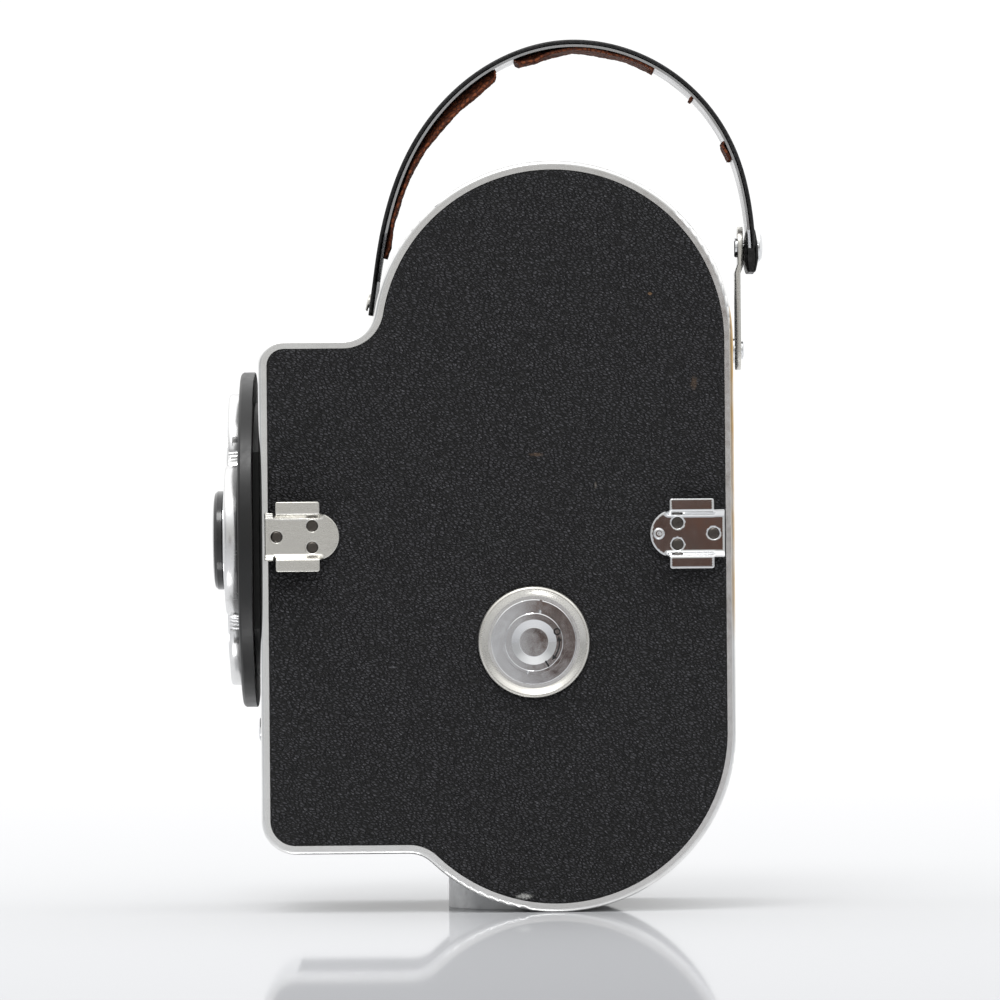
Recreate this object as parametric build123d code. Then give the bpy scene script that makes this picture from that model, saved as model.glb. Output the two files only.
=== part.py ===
from build123d import *
from math import asin, atan2, cos, degrees, pi, radians, sin, sqrt, tan
import os

# Spring-wound 16 mm cine camera with a three-port lens turret, as an assembly of separate parts.
# Millimetres. The lens ports face -Y, the film door faces +X and +Z is up. The origin is the centre
# of the tripod socket, on the underside of the base foot.

# Case outline, seen from the door side in (Y, Z): two arcs joined by a flat back, and a square front.
ARC_RADIUS = 52.0
ARC_Y = 11.5
UPPER_ARC_Z = 164.5
LOWER_ARC_Z = 52.0
FRONT_Y = -73.5
REAR_Y = ARC_Y + ARC_RADIUS
UPPER_STEP_Z = 165.5
LOWER_STEP_Z = 17.2
UPPER_CORNER = 7.5
LOWER_CORNER = 9.8
NECK_RADIUS = 9.2

# Case thickness, along X.
SIDE_X = -38.0
DOOR_X = 38.0
DOOR_SEAM_X = 29.0
WALL = 2.4
RIM_ROUND = 1.1
RIM_WIDTH = 2.5
LEATHER = 1.0
LEATHER_RECESS = 0.9
BAND_DEPTH = 0.85
BAND_X = (-31.0, 25.0)
BAND_FRONT_Y = -64.0

# Film door.
DOOR_WALL = 3.9
DOOR_SKIN_X = 35.2
TONGUE_X = 27.2
TONGUE_INSET = 2.7
SHUTTER_GAP_Z = (75.0, 141.0)

# Mechanism deck, which parts the film side from the spring side.
DECK_X = (4.0, 6.0)
DECK_INSET = 2.5
LEDGE_INSET = 5.0
LEDGE_X = 2.0
BOSS_X = -4.0
RUN_GAP = 0.05
END_GAP = 0.2

# Base foot and tripod socket.
FOOT_RADIUS = 20.0
FOOT_POCKET_Z = 2.2
FOOT_PAD_Z = 4.6
FOOT_TOP_Z = 13.0
BUSH_RADIUS = 8.0
BUSH_TOP_Z = 10.0
SOCKET_RADIUS = 3.175
SOCKET_DEPTH = 9.0

# Turret: a fixed round base, and a three-lobed plate that turns on it about Y.
TURRET_X = -2.0
TURRET_Z = 107.9
PORT_ORBIT = 24.5
LOBE_RADIUS = 21.7
WAIST_RADIUS = 8.0
BASE_RADIUS = 49.1
BASE_BOSS_RADIUS = 40.0
BASE_BOSS_Y = -75.4
BASE_FRONT_Y = -79.5
PLATE_Y = (-79.7, -83.6)
SEAT_Y = -84.03
PORT_RADIUS = 12.7
SEAT_RING_RADIUS = 15.2
PIVOT_RADIUS = 3.0
TAKING_X = TURRET_X + PORT_ORBIT

# Film gate and shutter, behind the taking port.
GATE_Y = (-67.9, -66.6)
APERTURE = (10.4, 7.5)
PULLDOWN = 7.62
SHUTTER_X = 0.5
SHUTTER_RADIUS = 28.0
SHUTTER_Y = (-70.5, -69.9)
CLAW_Y = (-69.2, -68.6)
PERFORATION_X = 15.4

# Gear train, in one plane, about X. Places are (Y, Z).
MODULE = 0.8
PRESSURE_ANGLE = 20.0
BACKLASH = 0.36
GEAR_X = (-9.0, -6.0)
IDLER_TEETH = 54
SPROCKET_TEETH = 26
BARREL_TEETH = 96
GOVERNOR_TEETH = 16
IDLER = (-44.0, 108.0)
FEED = (-44.0, 140.0)
TAKEUP = (-44.0, 76.0)
BARREL_DIRECTION = degrees(atan2(22.0, 55.82))
BARREL_DISTANCE = (IDLER_TEETH + BARREL_TEETH) * MODULE / 2
BARREL = (
    IDLER[0] + BARREL_DISTANCE * cos(radians(BARREL_DIRECTION)),
    IDLER[1] + BARREL_DISTANCE * sin(radians(BARREL_DIRECTION)),
)
GOVERNOR_DIRECTION = -45.0
GOVERNOR_DISTANCE = (IDLER_TEETH + GOVERNOR_TEETH) * MODULE / 2
GOVERNOR = (
    IDLER[0] + GOVERNOR_DISTANCE * cos(radians(GOVERNOR_DIRECTION)),
    IDLER[1] + GOVERNOR_DISTANCE * sin(radians(GOVERNOR_DIRECTION)),
)
SHAFT_RADIUS = 2.5
ARBOR_RADIUS = 5.0
BARREL_RADIUS = 36.5

# Film spools for 16 mm film, 100 ft.
SPOOL_RADIUS = 46.0
SPOOL_X = (13.5, 31.5)
FLANGE = 0.8
SPOOL_CORE = 15.9
SPINDLE_RADIUS = 4.0

# Outside fittings. Places on the two sides are (Y, Z).
LOCK = (5.4, 77.9)
LOCK_SPLIT_ANGLE = 78.0
LATCH_X = (33.2, 34.8)
HOOK_X = (22.3, 24.2)
HOOK_HALF_WIDTH = 3.0
CATCH_X = (24.5, 26.5)
CATCH_Y = (-68.0, 58.1)
FRONT_CLIP = (-71.9, 108.8)
REAR_CLIP = (60.6, 108.8)
CLIP_LENGTH = 21.5
CLIP_LIPS = (3.1, 15.9)
SPEED_KNOB = (-42.0, 62.0)
COUNTER = (-44.0, 140.0)
RELEASE = (-22.0, 51.7)

# Carrying handle: the outer edge of the strap in (Y, Z), from the front rivet over to the rear link.
HANDLE_POINTS = [
    (-42.1, 173.4),
    (-41.4, 178.5),
    (-39.3, 192.2),
    (-30.8, 219.5),
    (-12.3, 242.1),
    (14.0, 252.8),
    (37.2, 249.2),
    (54.5, 237.5),
    (65.7, 220.6),
    (70.4, 201.7),
    (71.4, 190.0),
]
STRAP_LEATHER = 1.4
STRAP_BAND = 0.7
STRAP_LINING = 1.0
STRAP_HALF_WIDTH = 12.5
TAB_HALF_WIDTH = 5.0
TAB_TOP_Z = 183.0
TAPER_TOP_Z = 197.0
STRAP_Z = (170.0, 260.0)
BAND_END_Z = 188.4
STRAP_END_Z = 190.0
LINING_END_Z = (188.0, 202.0)
ANCHOR_Z = 176.4
LINK_STUD_Z = 162.4
LINK_RIVET_Z = 192.4


# Building blocks.


def rectangle(y0, y1, z0, z1):
    """Rectangle between two corners."""
    return Pos((y0 + y1) / 2, (z0 + z1) / 2) * Rectangle(y1 - y0, z1 - z0)


def block(x0, x1, y0, y1, z0, z1):
    """Box between two corners."""
    centre = Pos((x0 + x1) / 2, (y0 + y1) / 2, (z0 + z1) / 2)
    return centre * Box(x1 - x0, y1 - y0, z1 - z0)


def slab(face, x0, x1):
    """A face drawn in (Y, Z), made solid from x0 to x1."""
    return extrude(Plane.YZ.offset(x0) * face, x1 - x0)


def slab_y(face, y0, y1):
    """A face drawn in (X, Z), made solid from y0 forward to y1."""
    return extrude(Plane.XZ.offset(-y0) * face, y0 - y1)


def rod_x(radius, place, x0, x1):
    """Round rod along X at a (Y, Z) place."""
    return slab(Pos(*place) * Circle(radius), x0, x1)


def rod_y(radius, x, z, y0, y1):
    """Round rod along Y, from y0 forward to y1."""
    return slab_y(Pos(x, z) * Circle(radius), y0, y1)


def rod_z(radius, x, y, z0, z1):
    """Round rod along Z."""
    return extrude(Plane.XY.offset(z0) * Pos(x, y) * Circle(radius), z1 - z0)


def turned_x(points, place):
    """A profile of (x, radius) points turned about X through a (Y, Z) place."""
    profile = make_face(Polyline(*points, close=True))
    return Pos(0, *place) * revolve(profile, Axis.X)


def turned_y(points, x, z):
    """A profile of (radius, y) points turned about Y through (x, z)."""
    profile = make_face(Polyline(*points, close=True))
    return Pos(x, 0, z) * revolve(profile, Axis.Y)


def case_face(inset):
    """The case outline, drawn inwards by inset."""
    radius = ARC_RADIUS - inset
    front = FRONT_Y + inset
    top = UPPER_STEP_Z - inset
    bottom = LOWER_STEP_Z + inset
    upper = UPPER_CORNER - inset
    lower = LOWER_CORNER - inset
    neck = NECK_RADIUS + inset
    reach = radius + neck
    upper_rise = top + neck - UPPER_ARC_Z
    lower_drop = LOWER_ARC_Z - (bottom - neck)
    upper_neck_y = ARC_Y - sqrt(reach**2 - upper_rise**2)
    lower_neck_y = ARC_Y - sqrt(reach**2 - lower_drop**2)
    upper_angle = 180 - degrees(asin(upper_rise / reach))
    lower_angle = degrees(asin(lower_drop / reach))
    rear = ARC_Y + radius
    return make_face(
        [
            CenterArc((front + lower, bottom + lower), lower, 180, 90),
            Line((front + lower, bottom), (lower_neck_y, bottom)),
            CenterArc((lower_neck_y, bottom - neck), neck, 90, lower_angle - 90),
            CenterArc((ARC_Y, LOWER_ARC_Z), radius, lower_angle + 180, 180 - lower_angle),
            Line((rear, LOWER_ARC_Z), (rear, UPPER_ARC_Z)),
            CenterArc((ARC_Y, UPPER_ARC_Z), radius, 0, upper_angle),
            CenterArc((upper_neck_y, top + neck), neck, upper_angle - 180, 90 - upper_angle),
            Line((upper_neck_y, top), (front + upper, top)),
            CenterArc((front + upper, top - upper), upper, 90, 90),
            Line((front, top - upper), (front, bottom + lower)),
        ]
    )


def case_slab(inset, x0, x1):
    """The case outline made solid from x0 to x1."""
    return slab(case_face(inset), x0, x1)


def case_ring(outer, inner, x0, x1):
    """A ring that follows the case outline."""
    return slab(case_face(outer) - case_face(inner), x0, x1)


def gear_face(teeth, phase):
    """Involute gear outline about the origin, with one tooth centred on the phase angle."""
    pitch = teeth * MODULE / 2
    base = pitch * cos(radians(PRESSURE_ANGLE))
    tip = pitch + 0.9 * MODULE
    root = pitch - 1.2 * MODULE
    half = degrees((pi * MODULE / 2 - BACKLASH / 2) / 2 / pitch)

    def roll(radius):
        """Degrees that the flank has turned from the pitch circle to this radius."""
        here = sqrt(max(radius**2 / base**2 - 1, 0))
        there = tan(radians(PRESSURE_ANGLE))
        return degrees(here - atan2(here, 1)) - degrees(there - atan2(there, 1))

    flank = [(root, -roll(base)), (max(base, root + 0.05), -roll(base))]
    flank += [(pitch, 0.0), ((pitch + tip) / 2, -roll((pitch + tip) / 2)), (tip, -roll(tip))]
    points = []
    for tooth in range(teeth):
        centre = phase + tooth * 360 / teeth
        sides = [(r, centre - half - turn) for r, turn in flank]
        sides += [(r, centre + half + turn) for r, turn in reversed(flank)]
        points += [(r * cos(radians(a)), r * sin(radians(a))) for r, a in sides]
    return make_face(Polyline(*points, close=True))


def meshing_phase(direction, teeth):
    """Phase of a gear that meshes with the idler, which has a tooth on angle zero."""
    part = (direction * IDLER_TEETH / 360) % 1.0
    return direction + 180 + (part + 0.5) * 360 / teeth


def gear(place, teeth, phase):
    """One gear of the train."""
    return slab(Pos(*place) * gear_face(teeth, phase), *GEAR_X)


def trefoil_face():
    """Outline of the turret plate in (X, Z) about its pivot: three lobes and three hollow waists."""
    reach = LOBE_RADIUS + WAIST_RADIUS
    half_step = radians(60)
    waist = PORT_ORBIT * cos(half_step) + sqrt(reach**2 - (PORT_ORBIT * sin(half_step)) ** 2)
    edges = []
    for lobe in range(3):
        angle = lobe * 120.0
        centre = (PORT_ORBIT * cos(radians(angle)), PORT_ORBIT * sin(radians(angle)))
        hollow_angle = angle + 60.0
        hollow = (waist * cos(radians(hollow_angle)), waist * sin(radians(hollow_angle)))
        lean = degrees(atan2(hollow[1] - centre[1], hollow[0] - centre[0])) % 360
        swing = (lean - angle) % 360
        next_lean = 2 * hollow_angle - lean
        edges.append(CenterArc(centre, LOBE_RADIUS, angle - swing, 2 * swing))
        turn = (next_lean - lean) % 360
        edges.append(CenterArc(hollow, WAIST_RADIUS, lean + 180, turn - 360 if turn > 180 else turn))
    return make_face(edges)


def port_places():
    """(X, Z) of the three lens ports, the taking port first."""
    angles = [radians(120 * step) for step in range(3)]
    return [(TURRET_X + PORT_ORBIT * cos(a), TURRET_Z + PORT_ORBIT * sin(a)) for a in angles]


# Case.

foot_pocket = rod_z(FOOT_RADIUS, 0, 0, -1, FOOT_POCKET_Z)
foot_reach = rod_z(FOOT_RADIUS + 0.3, 0, 0, -1, FOOT_TOP_Z)
case_solid = case_slab(0, SIDE_X, DOOR_SEAM_X)
shutter_gap = block(-36, 36, -72, -64, *SHUTTER_GAP_Z)
light_hole = block(17, 28, -80, -66, TURRET_Z - 4.5, TURRET_Z + 4.5)
arc_back = sqrt(ARC_RADIUS**2 - (ANCHOR_Z - UPPER_ARC_Z) ** 2)
anchor_normal = (-arc_back / ARC_RADIUS, (ANCHOR_Z - UPPER_ARC_Z) / ARC_RADIUS)
anchor_plane = Plane(
    origin=(0, ARC_Y - arc_back, ANCHOR_Z), x_dir=(1, 0, 0), z_dir=(0, *anchor_normal)
)


def anchor_rod(radius, low, high):
    """Round rod along the front rivet's axis, with heights from the case surface."""
    return extrude(anchor_plane.offset(low) * Circle(radius), high - low)


def body_shell():
    """Case casting, open on the door side, with its ledge, foot boss and door catches."""
    shell = case_solid - case_slab(WALL, SIDE_X + WALL, DOOR_SEAM_X + 1)
    shell = fillet(shell.faces().sort_by(Axis.X)[0].outer_wire().edges(), RIM_ROUND)
    shell -= case_slab(RIM_WIDTH, SIDE_X - 1, SIDE_X + LEATHER_RECESS)
    shell += case_ring(WALL - 0.1, LEDGE_INSET, LEDGE_X, DECK_X[0]) - shutter_gap
    shell += rod_z(FOOT_RADIUS + 2.5, 0, 0, 0, FOOT_PAD_Z) & case_slab(0.1, SIDE_X + 1, DOOR_SEAM_X)
    catch_z = (LOCK[1] - 5, LOCK[1] + 5)
    shell += block(*CATCH_X, FRONT_Y + WALL - 0.1, CATCH_Y[0], *catch_z)
    shell += block(*CATCH_X, CATCH_Y[1], REAR_Y - WALL + 0.1, *catch_z)
    recess = case_ring(-1, BAND_DEPTH, *BAND_X)
    shell -= recess & block(*BAND_X, BAND_FRONT_Y, 80, -5, 230)
    shell -= front_leather_blank(FRONT_Y - 1)
    shell -= case_ring(1.0, 1.9, DOOR_SEAM_X - 1, DOOR_SEAM_X + 1)
    shell -= foot_pocket
    shell -= rod_z(BUSH_RADIUS, 0, 0, -1, BUSH_TOP_Z + 0.5)
    shell -= foot_screw_shapes()
    shell -= light_hole
    shell -= rod_x(ARBOR_RADIUS + RUN_GAP, BARREL, -39, -34)
    shell -= rod_x(SHAFT_RADIUS + RUN_GAP, SPEED_KNOB, -39, -34)
    shell -= rod_x(1.5 + RUN_GAP, COUNTER, -39, -34)
    shell -= rod_x(11.3, COUNTER, -39, -36.5)
    shell -= rod_y(2.2 + RUN_GAP, *RELEASE, -69, -76)
    shell -= anchor_rod(1.5, -4, 1)
    shell -= rod_y(1.5, 0, LINK_STUD_Z, 68, 58)
    return shell


def band_leather():
    """Leather round the edge of the case, flush between the two bright rims."""
    ring = case_ring(0.05, BAND_DEPTH, *BAND_X) & block(*BAND_X, BAND_FRONT_Y, 80, -5, 230)
    ring -= foot_reach
    ring -= anchor_rod(3.6, -4, 1)
    return ring - rod_y(4.2, 0, LINK_STUD_Z, 68, 58)


def front_leather_blank(front_y):
    """Sheet on the front face, above and below the turret's boss, with its front at front_y."""
    sheet = block(-34, 25.5, front_y, FRONT_Y + BAND_DEPTH, 28, 157)
    return sheet - rod_y(BASE_BOSS_RADIUS + 0.2, TURRET_X, TURRET_Z, -70, -76)


def front_leather():
    """Front leather, with its hole for the release button."""
    return front_leather_blank(FRONT_Y + 0.05) - rod_y(6.7, *RELEASE, -70, -76)


def side_leather():
    """Leather of the mechanism side."""
    sheet = case_slab(RIM_WIDTH + 0.05, SIDE_X - 0.1, SIDE_X + LEATHER_RECESS)
    sheet -= rod_x(ARBOR_RADIUS + 1, BARREL, -39, -34)
    sheet -= rod_x(SHAFT_RADIUS + 1, SPEED_KNOB, -39, -34)
    return sheet - rod_x(13.6, COUNTER, -39, -34)


def foot_screw_places():
    """(X, Y) of the four screws that hold the foot."""
    angles = [radians(45 + 90 * step) for step in range(4)]
    return [(14 * cos(a), 14 * sin(a)) for a in angles]


def foot_screw_shapes():
    """The four countersunk foot screws, without their slots."""
    screws = []
    for x, y in foot_screw_places():
        head = Pos(x, y, 0.9) * Cone(2.6, 1.3, 1.3)
        screws.append(head + rod_z(1.3, x, y, 1.5, 4.0))
    return Part() + screws


def foot_screws():
    """The foot screws, each with a slot across its head."""
    slots = [Pos(x, y, 0.3) * Box(6, 0.6, 0.8) for x, y in foot_screw_places()]
    return foot_screw_shapes() - slots


def base_foot():
    """Round foot that levels the camera on the lower arc, let into the case."""
    above_pocket = case_solid - block(-40, 40, -90, 90, -1, FOOT_POCKET_Z)
    foot = rod_z(FOOT_RADIUS, 0, 0, 0, FOOT_TOP_Z) - above_pocket
    foot -= rod_z(BUSH_RADIUS, 0, 0, -1, FOOT_TOP_Z)
    foot -= foot_screw_shapes()
    return foot - [rod_z(2.6, x, y, -1, 0.25) for x, y in foot_screw_places()]


def tripod_bush():
    """Steel bush with the tripod thread."""
    bush = rod_z(BUSH_RADIUS, 0, 0, 0, BUSH_TOP_Z)
    bush -= rod_z(SOCKET_RADIUS, 0, 0, -1, SOCKET_DEPTH)
    return bush


def door_seal():
    """Felt light seal in a groove round the case mouth."""
    return case_ring(1.0, 1.9, DOOR_SEAM_X - 1, DOOR_SEAM_X)


# Mechanism.


def bore_list():
    """Shafts that run in the deck: (place, radius)."""
    return [
        (IDLER, 2.0),
        (FEED, SHAFT_RADIUS),
        (TAKEUP, SHAFT_RADIUS),
        (BARREL, ARBOR_RADIUS),
        (GOVERNOR, 1.5),
        ((ARC_Y, UPPER_ARC_Z), SPINDLE_RADIUS),
        ((ARC_Y, LOWER_ARC_Z), SPINDLE_RADIUS),
    ]


def deck_plate():
    """Plate that carries every shaft, with a bearing boss under each hole."""
    deck = case_slab(DECK_INSET, *DECK_X)
    deck -= block(0, 10, -74, -68.3, *SHUTTER_GAP_Z)
    deck -= rod_z(FOOT_RADIUS + 3, 0, 0, 0, FOOT_PAD_Z + 0.3)
    deck -= rod_z(BUSH_RADIUS + 0.5, 0, 0, 0, BUSH_TOP_Z + 0.5)
    for place, radius in bore_list():
        deck += rod_x(radius + 2.5, place, BOSS_X, DECK_X[0])
        deck -= rod_x(radius + RUN_GAP, place, BOSS_X - 1, DECK_X[1] + 1)
    return deck


def idler_gear():
    """Idler that joins the barrel, both sprockets and the governor."""
    wheel = gear(IDLER, IDLER_TEETH, 0.0)
    wheel -= Part() + [
        rod_x(4.5, (IDLER[0] + 13 * cos(radians(a)), IDLER[1] + 13 * sin(radians(a))), *GEAR_X)
        for a in range(0, 360, 60)
    ]
    wheel += rod_x(4.5, IDLER, GEAR_X[1], BOSS_X - END_GAP)
    wheel += rod_x(2.0, IDLER, -12, DECK_X[1] + 1.1)
    return wheel + rod_x(4.0, IDLER, DECK_X[1] + 0.3, DECK_X[1] + 1.1)


def sprocket(place, direction):
    """Film sprocket with its shaft and drive gear."""
    drum = turned_x(
        [
            (DECK_X[1] + 0.3, 0), (DECK_X[1] + 0.3, 5), (14, 5), (14, 9.7), (17, 9.7), (17.6, 8.6),
            (27.4, 8.6), (28, 9.7), (31, 9.7), (31, 7.5), (32, 4), (32, 0),
        ],
        place,
    )
    tooth = turned_y([(0, 0), (0.75, 0), (0.7, 0.9), (0.35, 1.5), (0, 1.5)], 0, 0)
    for step in range(8):
        drum += Pos(PERFORATION_X, *place) * Rot(step * 45, 0, 0) * Pos(0, 9.4, 0) * tooth
    shaft = rod_x(SHAFT_RADIUS, place, -12, DECK_X[1] + 0.5)
    hub = rod_x(4.5, place, GEAR_X[1], BOSS_X - END_GAP)
    return drum + shaft + hub + gear(place, SPROCKET_TEETH, meshing_phase(direction, SPROCKET_TEETH))


def mainspring_barrel():
    """Spring drum with the great gear on its deck end."""
    barrel = gear(BARREL, BARREL_TEETH, meshing_phase(BARREL_DIRECTION, BARREL_TEETH))
    barrel += rod_x(BARREL_RADIUS, BARREL, -31, -8.5) - rod_x(BARREL_RADIUS - 1.5, BARREL, -31, -9)
    return barrel - rod_x(ARBOR_RADIUS + RUN_GAP, BARREL, -12, 0)


def barrel_cover():
    """Lid of the spring drum."""
    return rod_x(BARREL_RADIUS, BARREL, -32.4, -31) - rod_x(ARBOR_RADIUS + RUN_GAP, BARREL, -33, -30)


def mainspring():
    """Spring strip wound as a spiral of half turns, hooked to the drum at its outer end."""
    pitch = 2.8
    strip = 1.0
    half_turns = 19
    spiral = Sketch()
    for step in range(half_turns):
        radius = 6.8 + step * pitch / 2
        middle = BARREL[0] + (step % 2) * pitch / 2
        side = 1 if step % 2 == 0 else -1
        ring = Circle(radius + strip / 2) - Circle(radius - strip / 2)
        half = Pos(0, side * 40) * Rectangle(90, 80)
        spiral += Pos(middle, BARREL[1]) * (ring & half)
    end_y = BARREL[0] - (6.8 + (half_turns - 1) * pitch / 2)
    hook = rectangle(end_y - 2.7, end_y + 0.2, BARREL[1] - 0.1, BARREL[1] + 1.4)
    return slab(spiral + hook, -30.5, -10)


def governor():
    """Speed governor: pinion, shaft, disc and two fly weights."""
    body = gear(GOVERNOR, GOVERNOR_TEETH, meshing_phase(GOVERNOR_DIRECTION, GOVERNOR_TEETH))
    body += rod_x(1.5, GOVERNOR, -31, DECK_X[1] + 1.0)
    body += rod_x(3.0, GOVERNOR, GEAR_X[1], BOSS_X - END_GAP)
    body += rod_x(3.0, GOVERNOR, DECK_X[1] + 0.3, DECK_X[1] + 1.0)
    body += rod_x(13.0, GOVERNOR, -27, -25.4)
    weights = rod_x(12.5, GOVERNOR, -25.4, -16) - rod_x(7.5, GOVERNOR, -26, -15)
    span = block(-26, -15, GOVERNOR[0] - 14, GOVERNOR[0] + 14, GOVERNOR[1] - 5, GOVERNOR[1] + 5)
    return body + (weights & span)


def shutter():
    """Sector shutter on its shaft, behind the taking port."""
    open_sector = make_face(Polyline((0, 0), (60, -26), (60, 26), close=True))
    blade = Circle(SHUTTER_RADIUS) - (open_sector - Circle(6.0))
    disc = slab_y(Pos(SHUTTER_X, TURRET_Z) * blade, SHUTTER_Y[1], SHUTTER_Y[0])
    shaft = rod_y(2.0, SHUTTER_X, TURRET_Z, -51, SHUTTER_Y[0])
    collar = rod_y(3.4, SHUTTER_X, TURRET_Z, -64.2, -68)
    stop = rod_y(3.4, SHUTTER_X, TURRET_Z, -52.6, -53.8)
    return disc + shaft + collar + stop


def shutter_bracket():
    """Bearing block of the shutter shaft, under the deck."""
    bracket = block(-3.6, DECK_X[0], -64, -54, TURRET_Z - 7, TURRET_Z + 7)
    return bracket - rod_y(2.0 + RUN_GAP, SHUTTER_X, TURRET_Z, -50, -68)


def claw_slot(margin):
    """Opening in the gate for the claw's tooth over its stroke."""
    return block(
        PERFORATION_X - 0.8 - margin, PERFORATION_X + 0.8 + margin, -69, -60,
        TURRET_Z + 3.5 - PULLDOWN - margin, TURRET_Z + 4.7 + margin,
    )


def claw():
    """Pulldown claw: a flat link round the shutter shaft, with one tooth."""
    link = block(-3.6, 17, *CLAW_Y, TURRET_Z - 6, TURRET_Z + 14)
    slot = SlotOverall(5.6 + PULLDOWN, 5.6, 90)
    link -= slab_y(Pos(SHUTTER_X, TURRET_Z + PULLDOWN / 2) * slot, -66, -72)
    link -= block(5, 20, *CLAW_Y, TURRET_Z - 7, TURRET_Z + 1)
    link -= block(5, 20, *CLAW_Y, TURRET_Z + 8, TURRET_Z + 15)
    tooth = block(
        PERFORATION_X - 0.8, PERFORATION_X + 0.8, CLAW_Y[1] - 0.2, -65.6, TURRET_Z + 3.5, TURRET_Z + 4.7
    )
    return link + tooth


def aperture_plate():
    """Film gate with its picture aperture and claw slot."""
    plate = block(DECK_X[1], 31, *GATE_Y, TURRET_Z - 18, TURRET_Z + 18)
    plate -= block(
        TAKING_X - APERTURE[0] / 2, TAKING_X + APERTURE[0] / 2, -70, -60,
        TURRET_Z - APERTURE[1] / 2, TURRET_Z + APERTURE[1] / 2,
    )
    return plate - claw_slot(0.4)


def pressure_stems(radius, y0, y1):
    """The two guide stems of the pressure plate."""
    return rod_y(radius, 19, TURRET_Z - 7, y0, y1) + rod_y(radius, 26, TURRET_Z + 7, y0, y1)


def pressure_plate():
    """Sprung plate that holds the film flat in the gate."""
    plate = block(13, 30, -66.2, -64.7, TURRET_Z - 11, TURRET_Z + 11)
    plate -= claw_slot(0.8)
    return plate + pressure_stems(1.2, -57, -65)


def gate_bracket():
    """Post that guides the pressure plate."""
    bracket = block(DECK_X[1], 29, -60, -58.4, TURRET_Z - 10, TURRET_Z + 10)
    return bracket - pressure_stems(1.2 + RUN_GAP, -57, -62)


def film_guides():
    """Four flanged posts that lead the film round the sprockets."""
    posts = []
    for y, z in [(-60, 131), (-60, 85), (-20, 122), (-20, 94.5)]:
        profile = [(6, 0), (6, 2.8), (13.8, 2.8), (13.8, 3.8), (14.6, 3.8), (14.6, 2.4)]
        profile += [(30.4, 2.4), (30.4, 3.8), (31.2, 3.8), (31.2, 0)]
        posts.append(turned_x(profile, (y, z)))
    return Part() + posts


def spindle(arc_z, drive_radius):
    """Spool spindle with a square top, a table and a drive disc under the deck."""
    place = (ARC_Y, arc_z)
    body = rod_x(SPINDLE_RADIUS, place, BOSS_X - 1.6, DECK_X[1] + 0.4)
    body += rod_x(drive_radius, place, BOSS_X - 1.6, BOSS_X - END_GAP)
    body += rod_x(8.0, place, DECK_X[1] + 0.3, 8.3)
    body += rod_x(3.6, place, 8, SPOOL_X[0])
    square = Pos(*place) * Rectangle(7.6, 7.6)
    return body + slab(square & Pos(*place) * Circle(4.7), SPOOL_X[0] - 5, 32.6)


def spool(arc_z):
    """Daylight spool: two flanges and a core, with a square drive hole."""
    place = (ARC_Y, arc_z)
    body = rod_x(SPOOL_RADIUS, place, SPOOL_X[0], SPOOL_X[0] + FLANGE)
    body += rod_x(SPOOL_RADIUS, place, SPOOL_X[1] - FLANGE, SPOOL_X[1])
    body += rod_x(SPOOL_CORE, place, *SPOOL_X)
    body -= slab(Pos(*place) * Rectangle(7.7, 7.7), SPOOL_X[0] - 1, SPOOL_X[1] + 1)
    holes = [(ARC_Y + 30 * cos(radians(a)), arc_z + 30 * sin(radians(a))) for a in (30, 150, 270)]
    return body - [rod_x(5.0, hole, SPOOL_X[0] - 1, SPOOL_X[1] + 1) for hole in holes]


# Turret.


def turret_base():
    """Black fixed base of the turret, with a boss against the case."""
    base = turned_y(
        [
            (0, BASE_BOSS_Y), (BASE_RADIUS - 0.2, BASE_BOSS_Y), (BASE_RADIUS, BASE_BOSS_Y - 0.2),
            (BASE_RADIUS, BASE_FRONT_Y + 0.8), (BASE_RADIUS - 0.3, BASE_FRONT_Y + 0.3),
            (BASE_RADIUS - 0.8, BASE_FRONT_Y), (0, BASE_FRONT_Y),
        ],
        TURRET_X, TURRET_Z,
    )
    boss = rod_y(BASE_BOSS_RADIUS, TURRET_X, TURRET_Z, FRONT_Y, BASE_BOSS_Y - 1)
    base += boss & block(-60, DOOR_SEAM_X - 0.2, -77, -73, 60, 160)
    base -= rod_y(9.0, TAKING_X, TURRET_Z, -70, -82) & block(0, 27.9, -82, BASE_BOSS_Y, 90, 130)
    base -= rod_y(9.0, TAKING_X, TURRET_Z, BASE_BOSS_Y - 0.5, -82)
    base -= light_hole
    return base - rod_y(PIVOT_RADIUS, TURRET_X, TURRET_Z, -70, -82)


def turret_plate():
    """Bright three-lobed turret plate, with knurled waists."""
    plate = slab_y(Pos(TURRET_X, TURRET_Z) * trefoil_face(), *PLATE_Y)
    plate = fillet(plate.faces().sort_by(Axis.Y)[0].outer_wire().edges(), 0.9)
    for x, z in port_places():
        plate -= rod_y(SEAT_RING_RADIUS, x, z, -78, -86)
    return plate - rod_y(PIVOT_RADIUS + RUN_GAP, TURRET_X, TURRET_Z, -78, -86)


def lens_seat_rings():
    """Threaded seat rings of the three ports, pressed into the plate."""
    rings = []
    for x, z in port_places():
        ring = rod_y(SEAT_RING_RADIUS, x, z, PLATE_Y[0] - 0.1, SEAT_Y)
        rings.append(ring - rod_y(PORT_RADIUS, x, z, -78, -86))
    return Part() + rings


def turret_screw():
    """Slotted pivot screw of the turret."""
    screw = rod_y(PIVOT_RADIUS, TURRET_X, TURRET_Z, BASE_BOSS_Y + 1, -84.5)
    screw += turned_y([(0, -83.8), (5.0, -83.8), (5.0, -84.6), (4.4, -85.2), (0, -85.2)], TURRET_X, TURRET_Z)
    return screw - block(TURRET_X - 6, TURRET_X + 6, -86, -84.6, TURRET_Z - 0.5, TURRET_Z + 0.5)


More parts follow.
